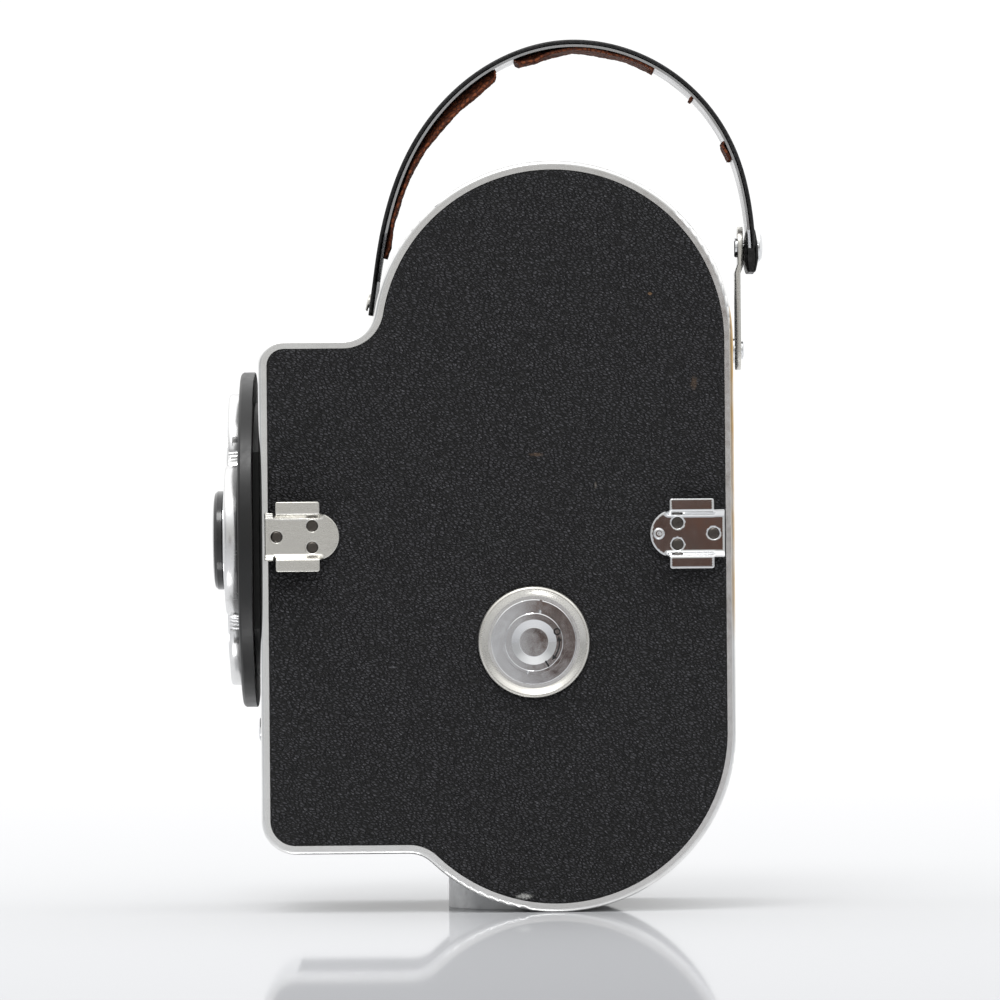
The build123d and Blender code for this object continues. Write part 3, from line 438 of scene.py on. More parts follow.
def pebbles(points: np.ndarray, cell: Tuple[float, float], lean: float = 0.0) -> np.ndarray:
    """Height of a pebbled grain, from 0 in the creases to 1 on the pebbles.

    Args:
        points: one row of two millimetre coordinates per point.
        cell: width and height of one pebble.
        lean: slant of the rows, as rise over run.

    Returns:
        One height per point.
    """
    place = np.column_stack([points[:, 0] / cell[0], (points[:, 1] - lean * points[:, 0]) / cell[1]])
    base = np.floor(place)
    nearest = np.full(len(place), 9.0)
    second = np.full(len(place), 9.0)
    for du in (-1, 0, 1):
        for dv in (-1, 0, 1):
            corner = base + (du, dv)
            shift_u = np.modf(np.abs(np.sin(corner[:, 0] * 127.1 + corner[:, 1] * 311.7)) * 4375.85)[0]
            shift_v = np.modf(np.abs(np.sin(corner[:, 0] * 269.5 + corner[:, 1] * 183.3)) * 4375.85)[0]
            away = np.hypot(corner[:, 0] + shift_u - place[:, 0], corner[:, 1] + shift_v - place[:, 1])
            second = np.minimum(second, np.maximum(nearest, away))
            nearest = np.minimum(nearest, away)
    return np.clip((second - nearest) / 0.35, 0, 1) ** 0.7


# Finishes.


class Brush(Enum):
    """How a metal surface was last worked.

    Each value is the size of a mark along X, Y and Z in millimetres. Real brush and polishing marks are a
    few hundredths of a millimetre wide, too fine to show, so they are drawn about ten times as coarse.
    """

    CAST = (0.9, 0.9, 0.9)
    UPRIGHT = (0.3, 0.3, 12.0)
    ACROSS = (0.3, 7.0, 0.3)
    POLISHED = (2.2, 2.2, 2.2)


@dataclass(frozen=True)
class Finish:
    """A surface: its common name, its sRGB colour and its shader values."""

    name: str
    colour: str
    roughness: float
    metallic: float = 0.0

    def shader(self, tree: bpy.types.NodeTree) -> bpy.types.Node:
        """The plain shader with the constant values on its own sockets.

        Args:
            tree: the material's node tree.

        Returns:
            The shader node.
        """
        return add(
            tree, "ShaderNodeBsdfPrincipled",
            {"Base Color": linear(self.colour), "Roughness": self.roughness, "Metallic": self.metallic},
        )

    def pattern(self, tree: bpy.types.NodeTree, shader: bpy.types.Node) -> None:
        """Feed the shader with what the real surface shows; each kind of finish has its own."""
        raise NotImplementedError

    def make(self) -> bpy.types.Material:
        """Build the material, once for each name.

        Returns:
            The material.
        """
        made = bpy.data.materials.get(self.name)
        if made is not None:
            return made
        made = bpy.data.materials.new(self.name)
        made.use_nodes = True
        tree = made.node_tree
        tree.nodes.clear()
        shader = self.shader(tree)
        self.pattern(tree, shader)
        add(tree, "ShaderNodeOutputMaterial", links={"Surface": shader.outputs["BSDF"]})
        return made


@dataclass(frozen=True)
class Metal(Finish):
    """Worked metal: fine scratches along the brush and cloudy handling marks."""

    metallic: float = 1.0
    brush: Brush = Brush.POLISHED
    cloud: str = "#ffffff"
    cloud_share: float = 0.35
    spread: float = 0.12
    relief_mm: float = 0.006

    def pattern(self, tree: bpy.types.NodeTree, shader: bpy.types.Node) -> None:
        """Scratches set the roughness and bump; the clouds tint the colour.

        Args:
            tree: the material's node tree.
            shader: shader node of the finish.
        """
        scratches = add(
            tree, "ShaderNodeTexNoise", {"Scale": 1.0, "Detail": 4.0, "Roughness": 0.65},
            {"Vector": stretched(tree, self.brush.value)},
        )
        clouds = add(
            tree, "ShaderNodeTexNoise", {"Scale": 1.0, "Detail": 5.0, "Roughness": 0.6},
            {"Vector": stretched(tree, (7.0, 9.0, 9.0))},
        )
        share = spread(tree, clouds.outputs["Fac"], 0.42, 0.72, 0.0, self.cloud_share)
        tree.links.new(mix(tree, share, self.colour, self.cloud), shader.inputs["Base Color"])
        both = add(
            tree, "ShaderNodeMath", links={0: scratches.outputs["Fac"], 1: clouds.outputs["Fac"]},
            operation="ADD",
        )
        low, high = max(0.03, self.roughness - self.spread), self.roughness + self.spread
        tree.links.new(spread(tree, both.outputs["Value"], 0.7, 1.3, low, high), shader.inputs["Roughness"])
        bump = add(
            tree, "ShaderNodeBump", {"Strength": 0.5, "Distance": self.relief_mm * MM},
            {"Height": scratches.outputs["Fac"]},
        )
        tree.links.new(bump.outputs["Normal"], shader.inputs["Normal"])


@dataclass(frozen=True)
class AgedRim(Metal):
    """Polished aluminium of the case, with lacquer gone yellow down the rear edge."""

    yellow: str = "#c29a50"
    yellow_y: float = 62.3
    yellow_z: Tuple[float, float] = (95.0, 185.0)
    fade_below: float = 18.0
    fade_above: float = 14.0

    def pattern(self, tree: bpy.types.NodeTree, shader: bpy.types.Node) -> None:
        """The metal's own pattern, then the yellowed band over it.

        Args:
            tree: the material's node tree.
            shader: shader node of the finish.
        """
        super().pattern(tree, shader)
        place = add(tree, "ShaderNodeTexCoord").outputs["Object"]
        parts = add(tree, "ShaderNodeSeparateXYZ", links={"Vector": place})
        ragged = add(
            tree, "ShaderNodeTexNoise", {"Scale": 1.0, "Detail": 3.0},
            {"Vector": stretched(tree, (4.0, 4.0, 16.0))},
        )
        edge = spread(tree, parts.outputs["Y"], self.yellow_y * MM, (self.yellow_y + 0.5) * MM, 0.0, 1.0)
        low, high = self.yellow_z
        bottom = spread(tree, parts.outputs["Z"], (low - self.fade_below) * MM, low * MM, 0.0, 1.0)
        top = spread(tree, parts.outputs["Z"], high * MM, (high + self.fade_above) * MM, 1.0, 0.0)
        patch = spread(tree, ragged.outputs["Fac"], 0.3, 0.6, 0.35, 1.0)
        share = edge
        for other in (bottom, top, patch):
            product = add(tree, "ShaderNodeMath", links={0: share, 1: other}, operation="MULTIPLY")
            share = product.outputs["Value"]
        bare = shader.inputs["Base Color"].links[0].from_socket
        tree.links.new(mix(tree, share, bare, self.yellow), shader.inputs["Base Color"])


@dataclass(frozen=True)
class Scuff:
    """A worn spot on the leather: its middle, its half sizes and its colour."""

    middle: Tuple[float, float, float]
    half: Tuple[float, float, float]
    colour: str


@dataclass(frozen=True)
class Leather(Finish):
    """Pressed leather: pebbles with painted shade in the creases between and a painted highlight on their
    tops, pores, painted glints, a light sheen and rubbed spots.
    """

    # The crease colour is painted shade in the creases between pebbles; the high colour is a painted
    # highlight on the pebbles' tops.
    crease_shade: str = "#09090a"
    high: str = "#2d2d30"
    grain_mm: Tuple[float, float, float] = (0.75, 1.4, 0.62)
    slant: float = 24.0
    relief_mm: float = 0.6
    # The next two fields are painted glints: a painted highlight colour on the pebble tops, and its strongest
    # share.
    painted_glint: str = "#808085"
    painted_glint_share: float = 0.6
    scuffs: Tuple[Scuff, ...] = ()

    def shader(self, tree: bpy.types.NodeTree) -> bpy.types.Node:
        """The plain shader, with the weak reflection of a dry dressed hide.

        Args:
            tree: the material's node tree.

        Returns:
            The shader node.
        """
        made = super().shader(tree)
        made.inputs["Specular IOR Level"].default_value = 0.32
        return made

    def pattern(self, tree: bpy.types.NodeTree, shader: bpy.types.Node) -> None:
        """Grain by cells a pebble wide, softened by a slow drift of the pattern.

        Args:
            tree: the material's node tree.
            shader: shader node of the finish.
        """
        drift = add(
            tree, "ShaderNodeTexNoise", {"Scale": 1.0, "Detail": 2.0},
            {"Vector": stretched(tree, (6.0, 6.0, 6.0))},
        )
        base = stretched(tree, self.grain_mm, self.slant)
        bent = add(
            tree, "ShaderNodeVectorMath", {"Scale": 1.6}, {0: drift.outputs["Color"]}, operation="SCALE"
        )
        place = add(tree, "ShaderNodeVectorMath", links={0: base, 1: bent.outputs["Vector"]}, operation="ADD")
        cells = add(
            tree, "ShaderNodeTexVoronoi", {"Scale": 1.0, "Randomness": 1.0},
            {"Vector": place.outputs["Vector"]}, feature="DISTANCE_TO_EDGE",
        )
        pores = add(
            tree, "ShaderNodeTexNoise", {"Scale": 1.0, "Detail": 4.0, "Roughness": 0.7},
            {"Vector": stretched(tree, (0.35, 0.6, 0.3), self.slant)},
        )
        folds = add(
            tree, "ShaderNodeTexNoise", {"Scale": 1.0, "Detail": 5.0, "Roughness": 0.6},
            {"Vector": stretched(tree, (3.0, 5.5, 2.0))},
        )
        pebble = spread(tree, cells.outputs["Distance"], 0.0, 0.22, 0.0, 1.0)
        rough = add(
            tree, "ShaderNodeMath", {1: 0.55}, {0: pores.outputs["Fac"], 2: pebble}, operation="MULTIPLY_ADD"
        )
        height = add(
            tree, "ShaderNodeMath", {1: 1.3}, {0: folds.outputs["Fac"], 2: rough.outputs["Value"]},
            operation="MULTIPLY_ADD",
        )
        # Painted shade in the creases and a painted highlight on the pebbles' tops, set by the height of the
        # grain.
        shade = ramp(
            tree, spread(tree, rough.outputs["Value"], 0.15, 1.25, 0.0, 1.0),
            [(0.0, self.crease_shade), (0.3, self.crease_shade), (0.75, self.colour), (1.0, self.high)],
        )
        # Painted glints: a painted highlight where the pores peak on the pebble tops.
        tops = add(
            tree, "ShaderNodeMath", links={0: pores.outputs["Fac"], 1: pebble}, operation="MULTIPLY"
        )
        lit = spread(tree, tops.outputs["Value"], 0.55, 0.66, 0.0, self.painted_glint_share)
        shade = mix(tree, lit, shade, self.painted_glint)
        for scuff in self.scuffs:
            shade = self.rubbed(tree, shade, pores.outputs["Fac"], scuff)
        tree.links.new(shade, shader.inputs["Base Color"])
        gloss = spread(
            tree, pores.outputs["Fac"], 0.35, 0.68, self.roughness + 0.14, self.roughness - 0.14
        )
        tree.links.new(gloss, shader.inputs["Roughness"])
        bump = add(
            tree, "ShaderNodeBump", {"Strength": 0.85, "Distance": self.relief_mm * MM},
            {"Height": height.outputs["Value"]},
        )
        tree.links.new(bump.outputs["Normal"], shader.inputs["Normal"])

    def rubbed(
        self, tree: bpy.types.NodeTree, under: bpy.types.NodeSocket, noise: bpy.types.NodeSocket, scuff: Scuff
    ) -> bpy.types.NodeSocket:
        """Lay one ragged rubbed spot over the colour.

        Args:
            tree: the material's node tree.
            under: colour output that it covers.
            noise: output that makes its edge ragged.
            scuff: the spot.

        Returns:
            The colour output.
        """
        place = add(tree, "ShaderNodeTexCoord").outputs["Object"]
        moved = add(
            tree, "ShaderNodeMapping",
            {
                "Location": tuple(-m / h for m, h in zip(scuff.middle, scuff.half)),
                "Scale": tuple(1 / (h * MM) for h in scuff.half),
            },
            {"Vector": place},
        )
        away = add(tree, "ShaderNodeVectorMath", links={0: moved.outputs["Vector"]}, operation="LENGTH")
        torn = add(
            tree, "ShaderNodeMath", {1: 1.8}, {0: noise, 2: away.outputs["Value"]}, operation="MULTIPLY_ADD"
        )
        share = spread(tree, torn.outputs["Value"], 1.25, 1.75, 0.85, 0.0)
        return mix(tree, share, under, scuff.colour)


@dataclass(frozen=True)
class Coating(Finish):
    """Paint, moulded plastic or enamel: faint orange peel and dust."""

    dust: str = "#6a6a6c"
    dust_share: float = 0.12
    peel_mm: float = 0.5
    relief_mm: float = 0.01
    coat: float = 0.0

    def shader(self, tree: bpy.types.NodeTree) -> bpy.types.Node:
        """The plain shader with its clear coat.

        Args:
            tree: the material's node tree.

        Returns:
            The shader node.
        """
        made = super().shader(tree)
        made.inputs["Coat Weight"].default_value = self.coat
        made.inputs["Coat Roughness"].default_value = 0.08
        return made

    def pattern(self, tree: bpy.types.NodeTree, shader: bpy.types.Node) -> None:
        """Peel in the bump, dust in the colour and both in the roughness.

        Args:
            tree: the material's node tree.
            shader: shader node of the finish.
        """
        peel = add(
            tree, "ShaderNodeTexNoise", {"Scale": 1.0, "Detail": 2.0},
            {"Vector": stretched(tree, (self.peel_mm,) * 3)},
        )
        dust = add(
            tree, "ShaderNodeTexNoise", {"Scale": 1.0, "Detail": 8.0, "Roughness": 0.8},
            {"Vector": stretched(tree, (5.0, 5.0, 5.0))},
        )
        share = spread(tree, dust.outputs["Fac"], 0.52, 0.75, 0.0, self.dust_share)
        tree.links.new(mix(tree, share, self.colour, self.dust), shader.inputs["Base Color"])
        gloss = spread(tree, dust.outputs["Fac"], 0.4, 0.7, self.roughness, self.roughness + 0.15)
        tree.links.new(gloss, shader.inputs["Roughness"])
        bump = add(
            tree, "ShaderNodeBump", {"Strength": 0.4, "Distance": self.relief_mm * MM},
            {"Height": peel.outputs["Fac"]},
        )
        tree.links.new(bump.outputs["Normal"], shader.inputs["Normal"])


@dataclass(frozen=True)
class Felt(Finish):
    """Pressed wool felt: short crossing fibres and a soft sheen."""

    fibre_mm: float = 0.25

    def shader(self, tree: bpy.types.NodeTree) -> bpy.types.Node:
        """The plain shader with a sheen.

        Args:
            tree: the material's node tree.

        Returns:
            The shader node.
        """
        made = super().shader(tree)
        made.inputs["Sheen Weight"].default_value = 0.4
        return made

    def pattern(self, tree: bpy.types.NodeTree, shader: bpy.types.Node) -> None:
        """Fibres in the colour and the bump.

        Args:
            tree: the material's node tree.
            shader: shader node of the finish.
        """
        fibres = add(
            tree, "ShaderNodeTexNoise", {"Scale": 1.0, "Detail": 6.0, "Roughness": 0.8, "Distortion": 1.5},
            {"Vector": stretched(tree, (self.fibre_mm, self.fibre_mm * 3, self.fibre_mm * 3))},
        )
        shade = ramp(tree, fibres.outputs["Fac"], [(0.3, "#060606"), (0.7, self.colour)])
        tree.links.new(shade, shader.inputs["Base Color"])
        bump = add(
            tree, "ShaderNodeBump", {"Strength": 0.8, "Distance": 0.2 * MM}, {"Height": fibres.outputs["Fac"]}
        )
        tree.links.new(bump.outputs["Normal"], shader.inputs["Normal"])


@dataclass(frozen=True)
class Clear(Finish):
    """Clear acrylic, faintly yellowed and finely scratched."""

    def shader(self, tree: bpy.types.NodeTree) -> bpy.types.Node:
        """The plain shader, letting light through.

        Args:
            tree: the material's node tree.

        Returns:
            The shader node.
        """
        made = super().shader(tree)
        made.inputs["Transmission Weight"].default_value = 1.0
        made.inputs["IOR"].default_value = 1.49
        return made

    def pattern(self, tree: bpy.types.NodeTree, shader: bpy.types.Node) -> None:
        """Hair scratches in the roughness.

        Args:
            tree: the material's node tree.
            shader: shader node of the finish.
        """
        hair = add(
            tree, "ShaderNodeTexNoise", {"Scale": 1.0, "Detail": 3.0},
            {"Vector": stretched(tree, (0.2, 4.0, 0.4))},
        )
        tree.links.new(spread(tree, hair.outputs["Fac"], 0.5, 0.75, 0.03, 0.16), shader.inputs["Roughness"])


DOOR_SCUFFS = (
    Scuff((38.0, 39.7, 178.0), (2.0, 0.9, 0.6), "#8a6a4a"),
    Scuff((38.0, 6.6, 131.9), (2.0, 2.6, 0.7), "#5d4a3a"),
    Scuff((38.0, 52.1, 152.1), (2.0, 1.3, 2.6), "#57473a"),
    Scuff((38.0, 2.0, 4.7), (2.0, 3.0, 1.1), "#b9b9b6"),
    Scuff((38.0, -35.0, 71.0), (2.0, 1.6, 0.5), "#57575a"),
    Scuff((38.0, 23.5, 123.0), (2.0, 0.5, 1.4), "#66605a"),
)

# Grain leather glued over the castings: near black, with a slight sheen, and painted glints of highlight on
# the pebbles' tops.
BLACK_LEATHER = Leather("grained_black_leather", "#141416", 0.44, scuffs=DOOR_SCUFFS)
# The strap's smoother cowhide: darker, polished by the hand.
STRAP_LEATHER = Leather(
    "polished_strap_leather", "#121112", 0.36, high="#1d1c1d", grain_mm=(1.6, 1.6, 1.2), relief_mm=0.06,
    painted_glint_share=0.0,
)
# Dry split leather under the strap: red-brown and fibrous, its dye flaking off.
LINING_LEATHER = Leather(
    "dry_brown_split_leather", "#63301a", 0.8, crease_shade="#472314", high="#7d4325", grain_mm=(2.4, 1.6, 1.6),
    relief_mm=0.12, painted_glint_share=0.0,
)
# Polished cast aluminium: a pale, slightly soft mirror with fine lengthwise scratches.
CASE_ALLOY = AgedRim(
    "polished_cast_aluminium", "#ebebea", 0.2, spread=0.05, cloud="#d3d2d0", relief_mm=0.0015
)
# Satin nickel plate: warm grey, blurred reflections.
NICKEL = Metal("satin_nickel_plate", "#d6d4ce", 0.27, brush=Brush.ACROSS, cloud="#bfbcb4", relief_mm=0.004)
# Bright chrome plate: a cool mirror with wipe marks.
CHROME = Metal("bright_chrome_plate", "#dfe0e1", 0.06, spread=0.03, cloud="#cdced0", relief_mm=0.0012)
# The turret plate's chrome is duller, from being turned by hand.
TURRET_CHROME = Metal(
    "handled_chrome_plate", "#dddddd", 0.22, spread=0.08, brush=Brush.ACROSS, cloud="#b4b3b1", relief_mm=0.004
)
# Baked enamel over alloy: black with a soft gloss.
BLACK_ENAMEL = Coating("baked_black_enamel", "#090909", 0.3, dust_share=0.04)
# Moulded phenolic: deep black, high gloss, a little dusty.
BLACK_PLASTIC = Coating("moulded_phenolic", "#0e0e0f", 0.16, coat=0.3, dust_share=0.1)
# Chemically blackened screw steel: dark grey, dull.
DARK_STEEL = Metal("blackened_steel", "#55514d", 0.36, brush=Brush.CAST, cloud="#5b564e")
# Ground steel of shafts and gears: grey, with turning marks.
STEEL = Metal("ground_steel", "#a9a8a5", 0.3, brush=Brush.UPRIGHT, cloud="#8d8b86")
# Bright spring strip: grey steel with old glue stains.
SPRING_STEEL = Metal("bright_spring_steel", "#b5b6b8", 0.26, brush=Brush.UPRIGHT, cloud="#8f8a80")
# Machined brass: yellow, slightly tarnished.
BRASS = Metal("machined_brass", "#c9a25a", 0.28, brush=Brush.UPRIGHT, cloud="#8f6b35")
# Sand-cast and milled alloy of the deck and foot: matt pale grey.
ALLOY = Metal("milled_aluminium", "#bfc0c1", 0.42, brush=Brush.CAST, cloud="#9c9c9c", relief_mm=0.02)
# Wool felt of the light trap: black, dull and fibrous.
FELT = Felt("black_wool_felt", "#1a1a1a", 0.95)
# Enamelled dial: warm white, aged.
DIAL_WHITE = Coating("white_dial_enamel", "#e4dfd0", 0.4, dust="#a79a7c", dust_share=0.3)
# Clear acrylic window.
WINDOW = Clear("clear_acrylic", "#fbf9f0", 0.05)
# Black filler in engraved marks: matt.
ENGRAVING = Coating("black_engraving_filler", "#0b0b0c", 0.6, dust_share=0.05)

SLOTS: Dict[str, Finish] = {
    "case_alloy": CASE_ALLOY,
    "black_leather": BLACK_LEATHER,
    "strap_leather": STRAP_LEATHER,
    "lining_leather": LINING_LEATHER,
    "nickel": NICKEL,
    "chrome": CHROME,
    "turret_chrome": TURRET_CHROME,
    "black_enamel": BLACK_ENAMEL,
    "black_plastic": BLACK_PLASTIC,
    "dark_steel": DARK_STEEL,
    "steel": STEEL,
    "spring_steel": SPRING_STEEL,
    "brass": BRASS,
    "alloy": ALLOY,
    "felt": FELT,
    "dial_white": DIAL_WHITE,
    "window": WINDOW,
}


def dress_nodes() -> None:
    """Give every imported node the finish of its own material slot."""
    for name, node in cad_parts.items():
        for slot in node.material_slots:
            slot.material = SLOTS[slot.material.name.split(".")[0]].make()
        LOG.info("dressed %s", name)


# Sheets: the leather coverings and the stamped shoes.


def level(u: np.ndarray, v: np.ndarray) -> np.ndarray:
    """No bend at all."""
    return np.zeros(len(u))


@dataclass
class Sheet:
    """A sheet cut to loops, with a rolled edge, real relief, an optional bend and a closed back."""

    name: str
    body: str
    loops: List[np.ndarray]
    holes: List[np.ndarray]
    to_space: Mapping3
    spacing: float = 0.9
    thickness: float = 0.85
    roll: float = 0.55
    relief: float = 0.09
    cell: Point = (1.9, 1.15)
    lean: float = 0.16
    bend: Callable[[np.ndarray, np.ndarray], np.ndarray] = level
    finish: Finish = BLACK_LEATHER

    def lattice(self) -> np.ndarray:
        """Points of a triangular lattice inside the sheet, clear of every edge.

        Returns:
            One row of two coordinates per point.
        """
        everything = np.vstack(self.loops)
        low, high = everything.min(axis=0), everything.max(axis=0)
        rows = np.arange(low[1], high[1], self.spacing * 0.866)
        across = np.arange(low[0], high[0], self.spacing)
        grid = np.array([(u + (k % 2) * self.spacing / 2, v) for k, v in enumerate(rows) for u in across])
        kept = np.zeros(len(grid), dtype=bool)
        for loop in self.loops:
            kept |= inside(inset(loop, self.roll * 1.6), grid)
        for hole in self.holes:
            kept &= ~inside(inset(hole, -self.roll * 1.6), grid)
        return grid[kept]

    def surface(self) -> Tuple[np.ndarray, List[List[int]], List[np.ndarray]]:
        """Flat points of the sheet, its triangles, and the point numbers of each edge loop.

        Returns:
            The points, the triangles and the loops.
        """
        points: List[np.ndarray] = []
        edges: List[Tuple[int, int]] = []
        borders: List[np.ndarray] = []
        start = 0
        for loop, way in [(loop, 1) for loop in self.loops] + [(hole, -1) for hole in self.holes]:
            for share in (0.0, 0.18, 0.5, 1.0):
                ring = inset(loop, way * share * self.roll)
                numbers = np.arange(start, start + len(ring))
                if share == 0.0:
                    borders.append(numbers)
                edges += list(zip(numbers.tolist(), np.roll(numbers, -1).tolist()))
                points.append(ring)
                start += len(ring)
        points.append(self.lattice())
        flat = np.vstack(points)
        found = geometry.delaunay_2d_cdt([Vector(p) for p in flat.tolist()], edges, [], 0, 1e-5)
        flat = np.array([tuple(v) for v in found[0]])
        triangles = np.array(found[2])
        middles = flat[triangles].mean(axis=1)
        kept = np.zeros(len(middles), dtype=bool)
        for loop in self.loops:
            kept |= inside(loop, middles)
        for hole in self.holes:
            kept &= ~inside(hole, middles)
        return flat, triangles[kept].tolist(), borders

    def build(self) -> bpy.types.Object:
        """Make the sheet.

        Returns:
            The piece, with its grain raised in the mesh.
        """
        flat, triangles, borders = self.surface()
        tree = kdtree.KDTree(sum(len(border) for border in borders))
        for number in np.concatenate(borders):
            tree.insert(Vector((*flat[number], 0)), int(number))
        tree.balance()
        away = np.array([tree.find(Vector((u, v, 0)))[2] for u, v in flat])
        share = np.clip(away / self.roll, 0, 1)
        rolled = -self.roll * (1 - np.sqrt(np.clip(1 - (1 - share) ** 2, 0, 1)))
        grain = (pebbles(flat, self.cell, self.lean) - 0.6) * self.relief
        fine = (pebbles(flat[:, ::-1] + 40, (9.0, 14.0), 0.3) - 0.5) * self.relief * 0.8
        height = rolled + (grain + fine) * np.clip(away / (2 * self.roll), 0, 1)
        bend = self.bend(flat[:, 0], flat[:, 1])
        top = self.to_space(flat[:, 0], flat[:, 1], height + bend)
        back = self.to_space(flat[:, 0], flat[:, 1], bend - self.thickness)
        count = len(flat)
        faces = list(triangles) + [[c + count, b + count, a + count] for a, b, c in triangles]
        sides: Dict[Tuple[int, int], int] = {}
        for face in triangles:
            for a, b in zip(face, face[1:] + face[:1]):
                sides[(a, b)] = sides.get((a, b), 0) + 1
        faces += [[b, a, a + count, b + count] for a, b in sides if (b, a) not in sides]
        piece = mesh_piece(self.name, np.vstack([top, back]), faces, self.finish.make())
        outward(piece)
        return piece


@dataclass
class LeatherWork:
    """The four coverings: door, mechanism side, front face and the band round the edge."""

    side_inset: float = 2.55
    band_depth: float = 0.85
    band_x: Point = (-30.9, 24.9)
    front_x: Point = (-33.9, 25.4)
    front_z: Point = (28.1, 156.9)
    proud: float = 0.12

    def door(self) -> None:
        """The big panel of the film door, cut round the lock."""
        face_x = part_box("door_leather")[1].x / MM
        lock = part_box("lock_escutcheon")
        centre = ((lock[0].y + lock[1].y) / 2 / MM, (lock[0].z + lock[1].z) / 2 / MM)
        sheet = Sheet(
            "door_covering", "door", [OUTLINE.loop(self.side_inset, 0.7)], [circle(centre, 16.15)],
            lambda u, v, h: np.column_stack([face_x + h, u, v]), spacing=0.62, thickness=0.95,
        )
        place_piece(sheet.build(), "door", "black_leather", "door_leather")

    def mechanism_side(self) -> None:
        """The panel of the mechanism side, cut round the winder, speed dial and counter."""
        face_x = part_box("side_leather")[0].x / MM
        holes = []
        for node, radius in (("winding_hub", 6.1), ("speed_knob", 3.6), ("counter_bezel", 13.65)):
            low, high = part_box(node)
            holes.append(circle(((low.y + high.y) / 2 / MM, (low.z + high.z) / 2 / MM), radius, 0.6))
        sheet = Sheet(
            "side_covering", "case", [OUTLINE.loop(self.side_inset, 0.8)], holes,
            lambda u, v, h: np.column_stack([face_x - h, u, v]), spacing=0.8, thickness=0.95, lean=-0.16,
        )
        place_piece(sheet.build(), "case", "black_leather", "side_leather")

    def front(self) -> None:
        """Two pieces on the front face, above and below the turret's boss."""
        face_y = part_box("front_leather")[0].y / MM - self.proud
        low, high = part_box("turret_base")
        x, z = (low.x + high.x) / 2 / MM, (low.z + high.z) / 2 / MM
        button_low, button_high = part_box("release_bezel")
        button = ((button_low.x + button_high.x) / 2 / MM, (button_low.z + button_high.z) / 2 / MM)
        radius = 40.25
        x0, x1 = self.front_x
        ends = [math.degrees(math.acos((edge - x) / radius)) for edge in (x0, x1)]
        drop = [radius * math.sin(math.radians(end)) for end in ends]
        z0, z1 = self.front_z
        upper = np.vstack([
            arc((x, z), radius, ends[0], ends[1] - ends[0], 0.8),
            run((x1, z + drop[1]), (x1, z1), 0.8),
            run((x1, z1), (x0, z1), 0.8),
            run((x0, z1), (x0, z + drop[0]), 0.8),
        ])
        lower = np.vstack([
            run((x0, z0), (x1, z0), 0.8),
            run((x1, z0), (x1, z - drop[1]), 0.8),
            arc((x, z), radius, -ends[1], ends[1] - ends[0], 0.8),
            run((x0, z - drop[0]), (x0, z0), 0.8),
        ])
        sheet = Sheet(
            "front_covering", "case", [upper, lower], [circle(button, 6.75, 0.6)],
            lambda u, v, h: np.column_stack([u, face_y - h, v]), spacing=0.9, roll=0.4,
            thickness=self.band_depth + self.proud - 0.05,
        )
        place_piece(sheet.build(), "case", "black_leather", "front_leather")

    def band(self) -> None:
        """The strip round the edge of the case, with its holes for the foot and the two strap studs."""
        path = OUTLINE.loop(0.0, 0.5)
        path = np.vstack([path, path[:1]])
        along = np.concatenate([[0], np.cumsum(np.linalg.norm(np.diff(path, axis=0), axis=1))])
        fine = np.linspace(0, along[-1], 4 * len(path))
        y = np.interp(fine, along, path[:, 0])
        z = np.interp(fine, along, path[:, 1])
        slope = np.column_stack([np.gradient(y, fine), np.gradient(z, fine)])
        window = np.ones(9) / 9
        slope = np.column_stack([np.convolve(np.pad(c, 4, mode="wrap"), window, "valid") for c in slope.T])
        slope /= np.linalg.norm(slope, axis=1, keepdims=True)
        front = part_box("band_leather")[0].y / MM
        kept = fine[y > front + 0.05]
        start, end = kept[0], kept[-1]

        def to_space(s: np.ndarray, x: np.ndarray, h: np.ndarray) -> np.ndarray:
            """Wrap the strip's length round the outline.

            Args:
                s: length along the outline.
                x: place across the strip.
                h: height over the outline.

            Returns:
                One row of X, Y and Z per point.
            """
            normal_y, normal_z = np.interp(s, fine, slope[:, 1]), -np.interp(s, fine, slope[:, 0])
            return np.column_stack([
                x, np.interp(s, fine, y) + normal_y * h, np.interp(s, fine, z) + normal_z * h
            ])

        def nearest(at_y: float, at_z: float) -> float:
            """Length along the outline nearest to a place."""
            return float(fine[np.argmin(np.hypot(y - at_y, z - at_z))])

        low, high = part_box("base_foot")
        foot_radius = (high.x - low.x) / 2 / MM + 0.35
        foot = circle((0.0, 0.0), foot_radius, 0.8)
        foot = np.column_stack([[nearest(v, 0.0) for u, v in foot], foot[:, 0]])
        foot = foot[np.concatenate([[True], np.linalg.norm(np.diff(foot, axis=0), axis=1) > 0.2])][::-1]
        stud_low, stud_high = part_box("link_stud")
        stud = nearest((stud_low.y + stud_high.y) / 2 / MM, (stud_low.z + stud_high.z) / 2 / MM)
        rivet_low, rivet_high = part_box("anchor_rivet")
        rivet = nearest((rivet_low.y + rivet_high.y) / 2 / MM, (rivet_low.z + rivet_high.z) / 2 / MM)
        x0, x1 = self.band_x
        loop = np.vstack([
            run((start, x0), (end, x0), 0.9), run((end, x0), (end, x1), 0.9),
            run((end, x1), (start, x1), 0.9), run((start, x1), (start, x0), 0.9),
        ])
        area = np.sum(foot[:, 0] * np.roll(foot[:, 1], -1) - np.roll(foot[:, 0], -1) * foot[:, 1])
        sheet = Sheet(
            "band_covering", "case", [loop],
            [foot if area > 0 else foot[::-1], circle((stud, 0.0), 4.3, 0.5), circle((rivet, 0.0), 3.7, 0.5)],
            to_space, spacing=1.0, thickness=self.band_depth - 0.02, roll=0.4, relief=0.04,
        )
        place_piece(sheet.build(), "case", "black_leather", "band_leather")

    def build(self) -> None:
        """Make all four."""
        self.door()
        self.mechanism_side()
        self.front()
        self.band()


